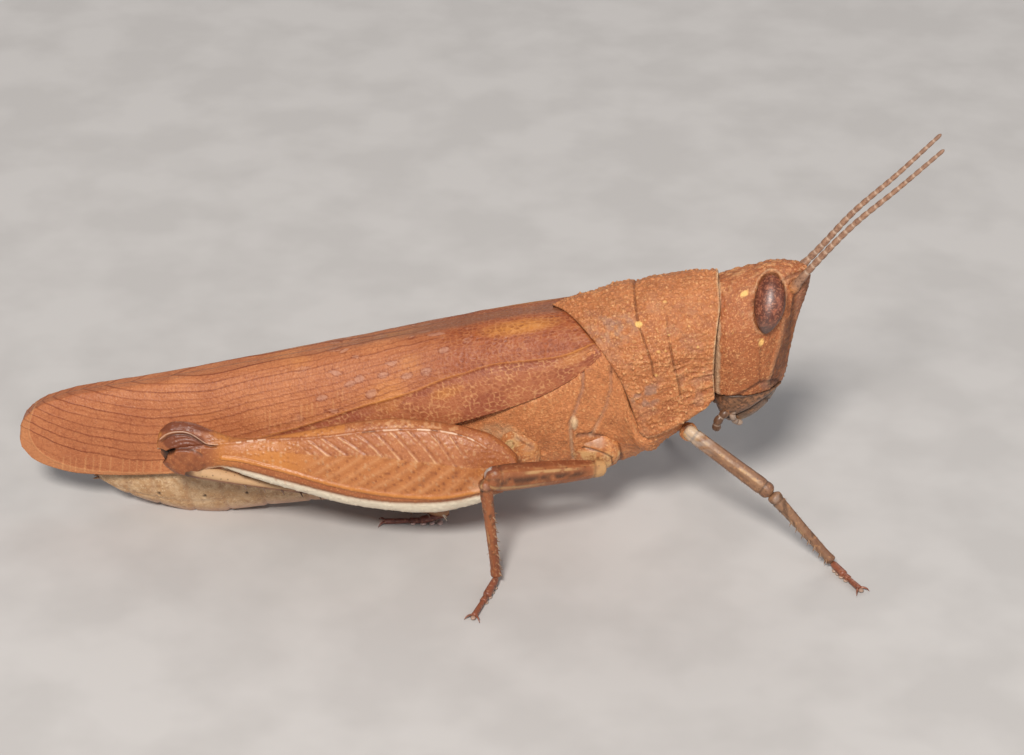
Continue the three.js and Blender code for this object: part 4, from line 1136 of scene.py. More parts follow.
def make_abdomen():
    xx, aa = around(np.linspace(ABDOMEN_TIP, ABDOMEN_FRONT, 360), 250)
    top, bottom = abdomen_top(xx), abdomen_bottom(xx)
    wide = bottom + (top - bottom) * 0.52
    upper = np.cos(aa) > 0
    rounding = np.where(upper, 2.1, 2.2)
    tall = np.where(upper, top - wide, wide - bottom)
    y = abdomen_half(xx) * power(np.sin(aa), 2 / rounding)
    z = wide + tall * power(np.cos(aa), 2 / rounding)
    grid = np.stack([xx, y, z], -1)
    n = normals_of(grid)
    q = pix(grid)
    height = 0.02 * fbm(grid, 0.7, 300)
    edge = np.zeros_like(xx)
    for place in SEGMENT_EDGES:
        bowed = place + 0.25 * np.cos(aa)
        d = xx - bowed
        height = height - 0.06 * bell(d, 0.1) - 0.035 * np.exp(-(np.clip(d, 0, None) / 0.6)) * (d > 0)
        edge = np.maximum(edge, bell(d + 0.05, 0.1))
    fold = bell(np.abs(aa) - 2.1, 0.07)
    height = height - 0.03 * fold
    holes = np.zeros_like(xx)
    ring = np.zeros_like(xx)
    for centre in SPIRACLES:
        r = distance(q, centre)
        near = (np.abs(aa) > 0.9)
        holes = np.maximum(holes, fade(0.8, 1.9, r) * near)
        ring = np.maximum(ring, bell(r - 3.2, 1.2) * near)
    height = height + 0.04 * ring - 0.08 * holes
    grid = grid + n * height[..., None]
    grid[..., 2] = np.maximum(grid[..., 2], ground_under(grid[..., 0]))
    p = Paint("belly", (0.47, 0.27, 0.128), 0.4, 0.44, 0.12)
    p.lay(p.noise(0.9, 4, 0.65, 0.42, 0.68), (0.68, 0.49, 0.30), 0.8)
    p.lay(p.noise(0.35, 4, 0.65, 0.48, 0.66), (0.30, 0.145, 0.065), 0.7)
    p.lay(p.noise(0.12, 3, 0.6, 0.54, 0.68), (0.78, 0.60, 0.38), 0.5)
    p.lay(p.dots(0.42, 0.14, 0.05), (0.16, 0.08, 0.05), 0.6)
    p.lay("edge", (0.34, 0.18, 0.10), 0.35)
    p.lay("under", (0.62, 0.36, 0.27), 0.55)
    p.lay("hole", (0.03, 0.016, 0.01), 1.0)
    # painted shade: the back, under the forewings, is darkened
    p.lay("back", (0.34, 0.16, 0.075), 0.6)
    p.bump(p.noise(0.16, 3, 0.6, 0.3, 0.7), 0.022, 0.8)
    # the back's mask is painted shade under the forewings
    masks = {
        "edge": edge + 0.25 * fold, "hole": holes,
        "under": step(2.2, 2.7, np.abs(aa)), "back": step(1.5, 0.8, np.abs(aa))}
    material = p.done()
    tube("abdomen_skin", grid, material, masks, ["abdomen_front", "abdomen_middle", "abdomen_rear"])


make_abdomen()

# ---- hind femora ----

DASHED = eased([
    (214, 448), (218, 444), (237, 443), (260, 440), (300, 439), (330, 436.5), (346, 434.5), (374, 431),
    (403, 429.4), (432, 430), (457, 434), (474, 440), (486, 448)])
SPINE_LINE = eased([
    (262, 451), (301, 454), (330, 456.4), (366, 455), (381, 456.4), (398, 459.7), (416, 462), (436, 463),
    (452, 466), (466, 468)])
LOWER_EDGE = eased([
    (222, 458), (240, 459.5), (260, 464.7), (293, 473), (326, 483), (359.5, 490.4), (392.7, 495.4),
    (425.8, 497.8), (450.7, 497), (479, 491)])
BAND_TOP = eased([
    (222, 466), (240, 469.5), (260, 474.5), (293, 483.5), (326, 492), (359.5, 499.2), (392.7, 503.2),
    (425.8, 503.6), (455, 501.5), (481, 495)])
CRESCENT = eased([
    (160.5, 439), (166, 434.5), (172, 432.3), (180, 431.6), (187, 432.5), (193, 435), (199, 439),
    (204.6, 443), (211, 444.5), (218, 444)])


def femur_paint():
    p = Paint("hind_femur", (0.33, 0.099, 0.032), 0.4, 0.44, 0.1)
    p.lay(p.noise(1.4, 4, 0.6, 0.4, 0.7), (0.49, 0.18, 0.063), 0.6)
    p.lay(p.noise(0.4, 4, 0.65, 0.52, 0.72), (0.36, 0.105, 0.03), 0.6)
    p.lay(p.noise(0.14, 3, 0.6, 0.54, 0.7), (0.33, 0.095, 0.03), 0.6)
    p.lay(p.noise(0.1, 3, 0.6, 0.56, 0.68), (0.70, 0.34, 0.13), 0.5)
    p.lay("field", (0.49, 0.19, 0.083), 0.55)
    p.lay("bright", (0.62, 0.235, 0.045), 0.75)
    # pale rib crests and granules, the crests a painted highlight; then dark flecks, with a painted shade
    # beside the ribs
    p.lay("grain_and_glint", (0.84, 0.50, 0.25), 0.75)
    p.lay("fleck_and_shade", (0.22, 0.06, 0.02), 0.85)
    p.lay("knee", (0.155, 0.038, 0.014), 0.92)
    p.lay("pale", (0.80, 0.56, 0.40), 0.9)
    p.lay("white", (0.74, 0.65, 0.50), 1.0)
    p.lay("dark", (0.045, 0.018, 0.01), 1.0)
    fine = p.noise(0.12, 3, 0.6, 0.3, 0.7)
    p.bump(fine, 0.014, 0.6)
    p.roughness(fine, 0.38, 0.54)
    return p.done()


FEMUR = femur_paint()

# the hind femur's lines, spots and dashes, and where its parts begin and end, in pixels of the picture plane
LOBE = (184, 461.5), (23.5, 13.5), 4
NOTCH = (160.5, 455), (8.5, 6.5), 20
NOTCH_INNER = (170, 452), (7, 3), -20
KNEE_RINGS = (184, 442), (22, 9)
KNEE_TOP = (184, 442), (23, 10)
KNEE_DOT = (157.5, 450.5), (3.2, 3.0)
HEAD_DOT = (476, 484), (11, 9)
RINGS_CENTRE = 186, 452
KNEE_GROOVE = [(172, 450), (180, 448.5), (190, 447), (204, 446), (214, 447)], 2.6
KNEE_BACK_LINE = [(156, 447), (156, 440), (160, 433)], 4
KNEE_UNDER_LINE = [(200, 473), (209, 468.5), (222, 468.5), (240, 472), (262, 478)], 3
SLANT_UPPER = [330, 440], [1.45, 0.75]
SLANT_LOWER = [330, 450], [1.6, 0.9]
RIB_AT = 345.5
RIB_PITCH = 18.0
RIBS_START = 292, 325
RIBS_END = 455, 476
FIELD_START = 225, 262
BAND_START = 210, 232
KNEE_END = 206, 224
GROOVE_START = 215, 235
NECK_END = 250, 215
CREST_GRAIN_START = 335, 380
CREST_GRAIN_END = 455, 475
BAND_DULL_END = 320, 240
KNEE_DARK_END = 435, 429
CREST_BRIGHT_END = 345
CREST_KNEE_END = 262
LOBE_EDGE_END = 203
FIELD_BRIGHT_END = 320
PALE_DASH_START = 270
WHITE_DASHES = (236, 241), (247, 253), (258, 266), (383, 398), (417, 430), (440, 457), (467, 474)
DARK_DASHES = (362, 376), (399, 403), (431, 438), (458, 462)


def make_hind_femur(name, side, droop):
    xx, aa = around(np.linspace(KNEE_BACK, FEMUR_HEAD, 330), 190)
    top, bottom = femur_crest(xx), femur_keel(xx)
    z = (top + bottom) / 2 + (top - bottom) / 2 * power(np.cos(aa), 0.95)
    lean = FEMUR_OUT - FEMUR_TILT * (z - FEMUR_MIDDLE)
    y = lean + femur_thick(xx) * power(np.sin(aa), 0.9)
    grid = np.stack([xx, y, z], -1)
    n = normals_of(grid)
    q = pix(grid)
    outside = step(-0.15, 0.1, np.sin(aa))
    px, py = q[..., 0], q[..., 1]
    below_dash, above_low = beside(q, DASHED), -beside(q, LOWER_EDGE)
    to_dash = along(q, DASHED)[0]
    carina = bell(to_dash, 1.15) * outside
    dash = bell(to_dash, 0.75) * outside
    low_carina = stroke(q, LOWER_EDGE, 3.6) * outside
    field = step(0.5, 3, below_dash) * step(1, 4, above_low) * outside * step(*FIELD_START, px)
    offset = beside(q, SPINE_LINE)
    # herringbone: slanting ribs that meet on the middle line, their crests painted pale as highlights and a
    # painted shade beside each
    slant = np.where(offset < 0, -np.interp(px, *SLANT_UPPER), np.interp(px, *SLANT_LOWER))
    wave = (px + slant * offset - RIB_AT) / RIB_PITCH
    nearest = np.round(wave)
    across = (wave - nearest) * RIB_PITCH / np.sqrt(1 + slant**2)
    reach = step(*RIBS_START, px) * fade(*RIBS_END, px)
    upper_part = offset < 0
    rib = np.where(upper_part, bell(across, 0.75), bell(across, 1.4))
    shade = bell(across - 1.9, 1.2) * upper_part
    half_way = bell(np.abs(across) - 6.0, 1.8) * (1 - upper_part)
    ribs = rib * field * reach
    shade = shade * field * reach
    half_way = half_way * field * reach
    spine = bell(offset, 1.3) * field * reach
    first, _, number = cells(np.stack([px, py], -1), 4.2, 400)
    bead = fade(0.18, 0.42, first) * (number > 0.5)
    speck = noise(grid, 0.16, 429)
    fleck_and_shade = unit(bead * (0.36 * field + 0.5 * (below_dash < 0) * outside) + 0.9 * bead * half_way
        + 0.6 * bead * shade)
    band = step(-0.8, 0.8, beside(q, BAND_TOP)) * step(*BAND_START, px) * outside
    knee_part = fade(*KNEE_END, px)
    crescent = stroke(q, CRESCENT, 2.2) * outside
    under_crescent = stroke(q, CRESCENT[:-3] + [0.6, 2.4], 2.4) * outside
    lobe = spot(q, *LOBE) * outside
    lobe_edge = ring_on(lobe, 0.95, 0.05)
    notch = np.maximum(spot(q, *NOTCH), spot(q, *NOTCH_INNER) * 0.6) * outside
    rings_above = (np.sin(np.hypot(px - RINGS_CENTRE[0], (py - RINGS_CENTRE[1]) * 1.5) * 1.15)
        * spot(q, *KNEE_RINGS) * outside)
    height = (0.05 * carina + 0.085 * low_carina + 0.035 * ribs * upper_part
        + 0.014 * ribs * (1 - upper_part) + 0.02 * spine)
    height = height - 0.035 * shade - 0.02 * half_way
    height = (height + 0.05 * crescent - 0.06 * under_crescent + 0.12 * step(0, 0.4, lobe) * knee_part
        - 0.45 * step(0.1, 0.6, notch))
    height = height - 0.09 * stroke(q, *KNEE_GROOVE) * outside + 0.02 * rings_above
    height = height + 0.02 * fbm(grid, 0.4, 410) + 0.025 * bead * outside
    # a groove along the pale band's upper border, painted dark and dulling the band: painted shade
    groove = bell(beside(q, BAND_TOP), 1.4) * outside * step(*GROOVE_START, px)
    height = height - 0.05 * groove
    grid = grid + n * height[..., None]
    white_dash, dark_dash = (
        sum(((px > start) & (px < end)) for start, end in dashes) for dashes in (WHITE_DASHES, DARK_DASHES))
    inner_side = 1 - outside
    crest_zone = (below_dash < -2) * outside
    masks = {
        "bright": unit(0.8 * low_carina + 0.55 * crest_zone * (px < CREST_BRIGHT_END) * (1 - knee_part)
            + 0.55 * step(*NECK_END, px) * (1 - knee_part)
            + 0.45 * step(0, 40, FIELD_BRIGHT_END - px) * field
            + 0.32 * field * (1 - upper_part) + 0.9 * stroke(q, *KNEE_BACK_LINE) * outside),
        "field": unit(0.75 * field * reach * (1 - half_way) * (0.7 + 0.3 * speck)),
        # the pale rib crests are a painted highlight
        "grain_and_glint": unit(0.7 * ribs * upper_part * step(-0.5, 0.3, speck) + 0.2 * ribs * (1 - upper_part)
            + 0.3 * spine * step(-0.2, 0.4, speck)
            + 0.55 * bead * field * (number > 0.82)
            + 0.4 * patchy(0.0, 0.5, grid, 0.17, 431) * crest_zone
            * step(*CREST_GRAIN_START, px) * fade(*CREST_GRAIN_END, px)),
        # dark flecks, and a painted shade beside the ribs
        "fleck_and_shade": unit(fleck_and_shade + 0.5 * half_way * patchy(-0.3, 0.4, grid, 0.22, 432) + 0.45 * shade
            + 0.65 * knee_part * patchy(-0.1, 0.4, grid, 0.2, 434) * step(0, 0.3, lobe)),
        "pale": unit(0.85 * dash * white_dash
            + 0.3 * dash * (px > PALE_DASH_START) * (1 - dark_dash) * step(-0.2, 0.4, speck)
            + 0.42 * stroke(q, CRESCENT, 1.2) * outside
            + 0.5 * stroke(q, *KNEE_UNDER_LINE) * outside
            + 0.3 * step(0, 0.6, spot(q, *HEAD_DOT)) * patchy(-0.3, 0.4, grid, 0.3, 435)
            + 0.8 * spot(q, *KNEE_DOT) * outside),
        "white": band
            * (0.95 - 0.25 * patchy(0.2, 0.7, grid, 0.16, 433) * (0.4 + step(*BAND_DULL_END, px))
            - 0.35 * groove),
        "knee": unit(0.95 * knee_part * step(*KNEE_DARK_END, py) * outside
            + 0.9 * step(0, 0.35, spot(q, *KNEE_TOP)) * outside
            + 0.26 * knee_part * outside
            + 0.25 * step(0, 0.5, lobe) * patchy(-0.2, 0.4, grid, 0.45, 436)
            + 0.25 * inner_side + 0.35 * crest_zone * (px < CREST_KNEE_END) * (1 - knee_part)),
        "dark": unit(0.65 * dash * dark_dash + step(0.05, 0.4, notch) + 0.55 * under_crescent
            + 0.3 * groove + 0.6 * lobe_edge * knee_part * (px < LOBE_EDGE_END)),
    }
    share = (FEMUR_HEAD - xx) / (FEMUR_HEAD - KNEE_BACK)
    grid[..., 2] -= droop * share
    grid[..., 1] = (grid[..., 1] - DRAW_IN * droop * share) * side
    tube(f"hind_femur_{name}_shell", grid, FEMUR, masks, [f"hind_femur_{name}"])


make_hind_femur("right", -1, 0.0)
make_hind_femur("left", 1, 1.6)

# ---- mouth parts ----


def cheek_height(x):
    return -CHEEK_DEPTH - CHEEK_SLOPE * (x - CHEEK_X)


def lip_height(x):
    return -LIP_DEPTH + LIP_SLOPE * (x - CHEEK_X)


def mouth_surface(upper, lower, rows, angles):
    """The head's outline between two slanting levels, each a height by x."""
    ss, aa = np.meshgrid(np.linspace(0, 1, rows), angles, indexing="ij")
    z = np.full_like(ss, -3.2)
    for _ in range(24):
        x = head_at(z, aa)[..., 0]
        level = upper(x) * (1 - ss) + lower(x) * ss
        z = 0.5 * z + 0.5 * np.clip(level, HEAD_BOTTOM + 0.02, -1.5)
    return head_at(z, aa), ss, aa


def mouth_paint():
    p = Paint("mouth", (0.22, 0.105, 0.052), 0.4, 0.45, 0.1)
    p.lay(p.noise(0.5, 4, 0.65, 0.45, 0.62), (0.38, 0.165, 0.075), 0.8)
    p.lay(p.noise(0.2, 4, 0.65, 0.48, 0.58), (0.075, 0.033, 0.018), 0.8)
    p.lay("olive", (0.14, 0.085, 0.04), 0.6)
    p.lay("tone", (0.60, 0.50, 0.40), 0.9)
    p.lay("edge", (0.05, 0.024, 0.014), 0.9)
    p.lay("pale", (0.52, 0.37, 0.22), 0.8)
    p.bump(p.noise(0.12, 3, 0.6, 0.3, 0.7), 0.014, 0.6)
    return p.done()


MOUTH = mouth_paint()

# the mouth's knob and seams, in pixels of the picture plane
MOUTH_KNOB = (763, 391), (6.5, 6.5)
CHEEK_SEAM = [(768, 399), (760, 396), (756, 388)], 2.5
LIP_SEAM = [(750, 409), (744, 403)], 2


def make_mouth():
    for name, side in BOTH_SIDES:
        angles = np.linspace(0.0, np.pi, 84)
        outer, ss, aa = mouth_surface(
            lambda x: cheek_height(x) - 0.03,
            lambda x: np.minimum(lip_height(x), cheek_height(x) - 0.12), 44, angles)
        bulge = np.sin(np.pi * unit(ss)) ** 0.6 * 0.1 * step(0.02, 0.3, np.sin(aa))
        n = normals_of(outer, False)
        n = n * np.sign((n[..., 1]).mean())
        rough = 0.025 * fbm(outer, 0.35, 500)
        grid = outer + n * (bulge + rough)[..., None]
        grid[..., 1] = np.maximum(grid[..., 1], MIDLINE_GAP)
        inner = np.stack([grid[:, -1] * (1 - w) + grid[:, 0] * w for w in (0.2, 0.4, 0.6, 0.8)], 1)
        inner[..., 1] = MIDLINE_GAP
        rings = np.concatenate([grid, inner], 1) * [1, side, 1]
        edge = unit(bell(ss, 0.12) + bell(1 - ss, 0.12))
        masks = {"edge": edge, "olive": step(2.2, 2.9, aa) * 0.8, "tone": 0 * ss, "pale": 0 * ss}
        full = {k: np.concatenate([m, m[:, :4]], 1) for k, m in masks.items()}
        tube(f"mandible_{name}_plate", rings, MOUTH, full, [f"mandible_{name}"])
    angles = np.linspace(-np.pi, np.pi, 140, endpoint=False)
    outer, ss, aa = mouth_surface(
        lambda x: np.minimum(lip_height(x), cheek_height(x)) - 0.05,
        lambda x: 0 * x + HEAD_BOTTOM + 0.02, 60, angles)
    q = pix(outer)
    n = normals_of(outer)
    knob = spot(q, *MOUTH_KNOB)
    knob_ring = ring_on(knob, 0.93, 0.12)
    seam = stroke(q, *CHEEK_SEAM) + stroke(q, *LIP_SEAM)
    groove = bell(outer[..., 1], 0.09) * (np.cos(aa) > 0)
    height = (0.06 * np.sin(np.pi * unit(ss * 1.1)) + 0.05 * step(0, 0.5, knob) - 0.05 * unit(seam)
        - 0.04 * groove)
    grid = outer + n * (height + 0.02 * fbm(outer, 0.3, 510))[..., None]
    masks = {
        "edge": unit(bell(ss, 0.09) + knob_ring + seam + 0.5 * groove),
        "olive": unit(0.6 + 0.6 * noise(grid, 0.5, 511)), "tone": 0 * ss,
        "pale": unit(step(0.35, 0.6, ss) * patchy(0.0, 0.5, grid, 0.4, 512)
            + 0.5 * step(0.2, 0.8, knob))}
    tube("labrum_plate", grid, MOUTH, masks, ["labrum"])


make_mouth()


def path_through(points):
    """A smooth path: a function from 0..1, measured along it, to a point."""
    pts = np.array(points, float)
    lengths = np.linalg.norm(np.diff(pts, axis=0), axis=1)
    knots = np.concatenate([[0], np.cumsum(lengths)]) / lengths.sum()
    parts = [profile(list(zip(knots, pts[:, i]))) for i in range(3)]
    return lambda t: np.stack([part(t) for part in parts], -1)


def frames_along(centre, upward):
    ahead = np.gradient(centre, axis=0)
    ahead /= np.linalg.norm(ahead, axis=1, keepdims=True)
    side = np.cross(ahead, upward)
    side /= np.linalg.norm(side, axis=1, keepdims=True)
    return ahead, side, np.cross(side, ahead)


def limb(path, t, sides, width, height, upward=(0, 0, 1)):
    """Rings round a path, with the angle of each point: 0 on its upper side."""
    centre = path(t)
    _, side, up = frames_along(centre, upward)
    angle = np.broadcast_to(np.linspace(-np.pi, np.pi, sides, endpoint=False), (len(t), sides))
    width = np.asarray(width).reshape(len(t), -1)
    height = np.asarray(height).reshape(len(t), -1)
    rings = (centre[:, None] + (width * np.sin(angle))[..., None] * side[:, None]
             + (height * np.cos(angle))[..., None] * up[:, None])
    return rings, angle


def rounded(t, start, end, blunt=0.3):
    near = np.minimum(np.minimum(t / start, (1 - t) / end), 1)
    return blunt + (1 - blunt) * np.sqrt(unit(1 - (1 - near) ** 2))


def closed(rings):
    """Points and faces of a loft with fan ends, for a merged piece."""
    rows, columns = rings.shape[:2]
    points = np.concatenate([rings.reshape(-1, 3), rings[:1].mean(1), rings[-1:].mean(1)])
    faces = quads_of(rows, columns, True).tolist()
    base, last = rows * columns, (rows - 1) * columns
    for j in range(columns):
        k = (j + 1) % columns
        faces.append([base, k, j])
        faces.append([base + 1, last + j, last + k])
    middle = rings.mean(1)
    before = rows // 2 - 1
    corner = rings[before, 0]
    across = np.cross(rings[before, 1] - corner, middle[before + 1] - middle[before])
    if across @ (corner - middle[before]) < 0:
        faces = [face[::-1] for face in faces]
    return points, faces


def ball(centre, radii, rows, columns):
    return closed(np.array(centre) + sphere(0.03, rows, columns) * np.array(radii))


def gathered(name, parts, material, nodes=(), trunk=True):
    """One piece from many small closed meshes: each (points, faces) and a tone from 0 to 1."""
    points, faces, tones, base = [], [], [], 0
    for (p, f), tone in parts:
        points.append(p)
        tones.append(np.broadcast_to(tone, len(p)))
        faces += [[int(v) + base for v in face] for face in f]
        base += len(p)
    masks = {"tone": np.concatenate(tones)}
    return build(name, np.concatenate(points), faces, material, masks, nodes, trunk)


def palp_paint():
    p = Paint("palp", (0.115, 0.055, 0.03), 0.4, 0.42, 0.1)
    p.lay(p.noise(0.25, 3, 0.6, 0.48, 0.66), (0.26, 0.14, 0.08), 0.7)
    p.lay("tone", (0.40, 0.29, 0.22), 0.8)
    return p.done()


PALP = palp_paint()


OUTER_PALP = [11.2, 1.15, -3.3], [10.6, 1.4, -3.5], [10.15, 1.5, -3.9], [10.0, 1.4, -4.4]
INNER_PALP = [11.3, 1.35, -3.2], [11.0, 1.45, -3.65], [11.05, 1.2, -4.15], [11.35, 0.9, -4.5]


def make_palps():
    for name, side in BOTH_SIDES:
        t = np.linspace(0, 1, 60)
        swell = 0.72 + 0.28 * np.abs(np.sin(t * np.pi * 4)) ** 0.7
        parts = []
        path = path_through(OUTER_PALP)
        radius = 0.24 * swell * rounded(t, 0.1, 0.12)
        rings, _ = limb(path, t, 16, radius, radius, (1, 0, 0))
        joints = np.repeat(0.7 * (swell < 0.82) * (t > 0.1), 16)
        parts.append((closed(rings * [1, side, 1]), np.append(joints, [0, 0])))
        path = path_through(INNER_PALP)
        radius = 0.17 * swell * rounded(t, 0.1, 0.12)
        rings, _ = limb(path, t, 16, radius, radius, (0, 1, 0))
        joints = np.repeat(0.25 + 0.7 * (swell > 0.85), 16)
        parts.append((closed(rings * [1, side, 1]), np.append(joints, [0, 0])))
        gathered(f"palps_{name}_pair", parts, PALP, [f"palps_{name}"])


make_palps()

# ---- antennae ----

SEGMENTS = 22


def make_antennae():
    p = Paint("antenna", (0.34, 0.185, 0.115), 0.5, 0.35)
    p.lay(p.noise(0.3, 3, 0.6, 0.45, 0.65), (0.24, 0.12, 0.075), 0.7)
    p.lay("bronze", (0.50, 0.19, 0.06), 0.9)
    p.lay(p.noise(0.16, 3, 0.6, 0.5, 0.62), (0.13, 0.062, 0.04), 0.6)
    p.lay("tip", (0.28, 0.16, 0.11), 0.8)
    p.lay("joint", (0.74, 0.56, 0.42), 0.95)
    p.bump(p.noise(0.1, 2, 0.5, 0.3, 0.7), 0.01, 0.5)
    material = p.done()
    for name, side, drop in (("right", -1, 0.0), ("left", 1, 0.38)):
        path = path_through([
            [15.15, 0.75, 2.55], [16.7, 0.95, 4.0 - drop], [19.0, 1.05, 5.85 - drop],
            [21.5, 1.15, 7.45 - drop], [24.0, 1.3, 9.15 - drop]])
        rows = SEGMENTS * 10 + 1
        t = np.linspace(0, 1, rows)
        within = (t * SEGMENTS) % 1.0
        shaft = 0.205 * (1 - 0.5 * t)
        swell = 0.86 + 0.2 * np.sin(np.pi * unit(within)) ** 0.6
        radius = shaft * swell
        scape = bell(t - 0.035, 0.03)
        pedicel = bell(t - 0.095, 0.014)
        radius = (radius + 0.13 * scape + 0.05 * pedicel) * rounded(t, 0.02, 0.02)
        rings, _ = limb(path, t, 20, radius * 1.08, radius * 0.92)
        joint = np.maximum(bell(within, 0.1), bell(1 - within, 0.1)) * (t > 0.12) * (t < 0.99)
        masks = {
            "joint": joint[:, None] * 0.5, "bronze": step(0.075, 0.02, t)[:, None],
            "tip": step(0.7, 1.0, t)[:, None] * 0.8}
        tube(f"antenna_{name}_shaft", rings * [1, side, 1], material, masks, [f"antenna_{name}"])


make_antennae()

# ---- hind wings and the tip of the abdomen ----

HINDWING_TIP, HINDWING_LENGTH, HINDWING_PLEATS = -20.2, 17.2, 14


def make_hindwings():
    p = Paint("hindwing", (0.34, 0.24, 0.18), 0.4, 0.4, 0.1)
    p.lay("vein", (0.15, 0.075, 0.045), 0.85)
    p.lay(p.noise(1.5, 3, 0.5, 0.4, 0.7), (0.42, 0.31, 0.24), 0.6)
    material = p.done()
    for name, side in BOTH_SIDES:
        tt, aa = around(np.linspace(0, 1, 160), 96)
        x = HINDWING_TIP + HINDWING_LENGTH * tt
        pleat = np.cos(aa * HINDWING_PLEATS)
        near = np.minimum(tt / 0.13, 1)
        reach = (0.8 + 0.2 * np.sqrt(1 - (1 - near) ** 2)) * (0.95 + 0.04 * pleat)
        top = tegmen_ridge(x) - 0.92
        low = np.maximum(abdomen_top(x) + 0.2, tegmen_edge(x) + 0.5)
        z = (top + low) / 2 + (top - low) / 2 * reach * power(np.cos(aa), 0.4)
        share = unit((z + 0.45 - tegmen_edge(x)) / (tegmen_ridge(x) - tegmen_edge(x)))
        out = (1 - share**TEGMEN_ROUND) ** (1 / TEGMEN_ROUND)
        room = np.maximum(RIDGE_HALF + (tegmen_half(x) - RIDGE_HALF) * out - 0.86, 0.2)
        y = MIDLINE_GAP + room / 2 * (1 + reach * power(np.sin(aa), 0.4))
        rings = np.stack([x, y * side, z], -1)
        masks = {"vein": step(0.55, 0.95, pleat)}
        tube(f"hindwing_{name}_fold", rings, material, masks, [f"hindwing_{name}"])


make_hindwings()


# each valve's root, tip, girth, sides, rows, bend and tone
VALVES = [
    ([-22.75, 0.16, -1.14], [-23.66, 0.15, -0.98], 0.17, 10, 8, [0, 0, 0.05], 0.15),
    ([-22.75, 0.16, -1.46], [-23.6, 0.15, -1.62], 0.17, 10, 8, [0, 0, -0.05], 0.3),
    ([-22.7, 0.36, -1.2], [-23.2, 0.41, -1.12], 0.1, 8, 6, None, 0.0)]


def make_ovipositor():
    p = Paint("valves", (0.36, 0.18, 0.08), 0.4, 0.45, 0.1)
    p.lay(p.noise(0.25, 3, 0.6, 0.45, 0.65), (0.20, 0.08, 0.035), 0.8)
    p.lay("tone", (0.15, 0.07, 0.034), 0.8)
    material = p.done()
    parts = []
    for side in (-1, 1):
        for root, tip, girth, sides, rows, bend, tone in VALVES:
            ends = np.array(root) * [1, side, 1], np.array(tip) * [1, side, 1]
            parts.append((spike(*ends, girth, sides, rows, bend), tone))
    gathered("ovipositor_valves", parts, material, ["ovipositor"])


make_ovipositor()

# ---- legs ----

LEGS = {
    "right": {
        "fore": ([9.1, 2.2, 6.85], [13.66, 4.0, 4.17], [16.94, 4.5, 0.42], [18.4, 6.75]),
        "mid": ([5.0, 2.85, 4.75], [-1.03, 6.5, 6.15], [-0.45, 6.9, 0.45], [-1.5, 10.35]),
        "hind": (None, [-16.6, 4.0, 4.75], [-3.3, 1.3, 0.75], [-7.1, 1.5]),
    },
    "left": {
        "fore": ([9.1, 2.2, 6.85], [10.9, 6.3, 4.55], [8.3, 8.4, 0.42], [7.3, 10.4]),
        "mid": ([5.0, 2.85, 4.75], [-0.6, 6.6, 5.95], [0.45, 7.1, 0.45], [-0.1, 10.3]),
        "hind": (None, [-16.5, 3.6, 3.15], [-3.3, 1.3, 0.75], [-7.1, 1.5]),
    },
}
FEMUR_SIZE = {
    "fore": profile([[0, 0.34], [0.1, 0.44], [0.5, 0.46], [0.85, 0.49], [0.95, 0.46], [1, 0.3]]),
    "mid": profile([[0, 0.4], [0.12, 0.5], [0.45, 0.65], [0.8, 0.72], [0.93, 0.66], [1, 0.46]]),
}


def leg_paint(name, base, brown, dark, cream=(0.66, 0.40, 0.17)):
    p = Paint(name, base, 0.46, 0.42, 0.05)
    p.lay(p.noise(0.7, 4, 0.6, 0.42, 0.68), brown, 0.5)
    p.lay("brown", brown, 0.85)
    p.lay(p.noise(0.22, 3, 0.6, 0.56, 0.68), (0.56, 0.28, 0.12), 0.4)
    p.lay("cream", cream, 0.85)
    p.lay("dark", dark, 0.9)
    p.lay(p.dots(0.3, 0.2, 0.08), dark, 0.6)
    p.lay("grey", (0.50, 0.43, 0.38), 0.75)
    p.bump(p.noise(0.1, 3, 0.6, 0.3, 0.7), 0.014, 0.6)
    return p.done()


LEG = leg_paint("leg", (0.32, 0.105, 0.036), (0.175, 0.045, 0.018), (0.05, 0.022, 0.012))
FORE_LEG = leg_paint("fore_leg", (0.29, 0.155, 0.085), (0.18, 0.078, 0.042), (0.075, 0.038, 0.022))
HIND_SHIN = leg_paint("hind_shin", (0.35, 0.155, 0.07), (0.18, 0.054, 0.024), (0.05, 0.022, 0.012),
    (0.55, 0.345, 0.18))


def coxa_paint():
    p = Paint("coxa", (0.50, 0.178, 0.060), 0.44, 0.42, 0.06)
    p.lay(p.noise(0.8, 4, 0.6, 0.42, 0.66), (0.62, 0.29, 0.10), 0.6)
    p.lay("pale", (0.60, 0.39, 0.17), 0.85)
    p.lay(p.noise(0.26, 4, 0.68, 0.48, 0.62), (0.30, 0.10, 0.034), 0.75)
    p.lay(p.noise(0.12, 2, 0.5, 0.56, 0.7), (0.80, 0.52, 0.26), 0.5)
    p.lay("grey", (0.42, 0.25, 0.17), 0.6)
    p.lay("dark", (0.07, 0.03, 0.016), 0.9)
    p.bump(p.noise(0.14, 3, 0.6, 0.3, 0.7), 0.016, 0.6)
    return p.done()


COXA = coxa_paint()
COXAE = {
    "fore": ([8.62, 1.84, -3.95], [0.5, 0.46, 0.56]),
    "mid": ([3.72, 2.08, -4.02], [1.25, 0.62, 1.12]),
    "hind": ([-0.1, 2.42, -2.9], [1.08, 0.5, 1.47]),
}

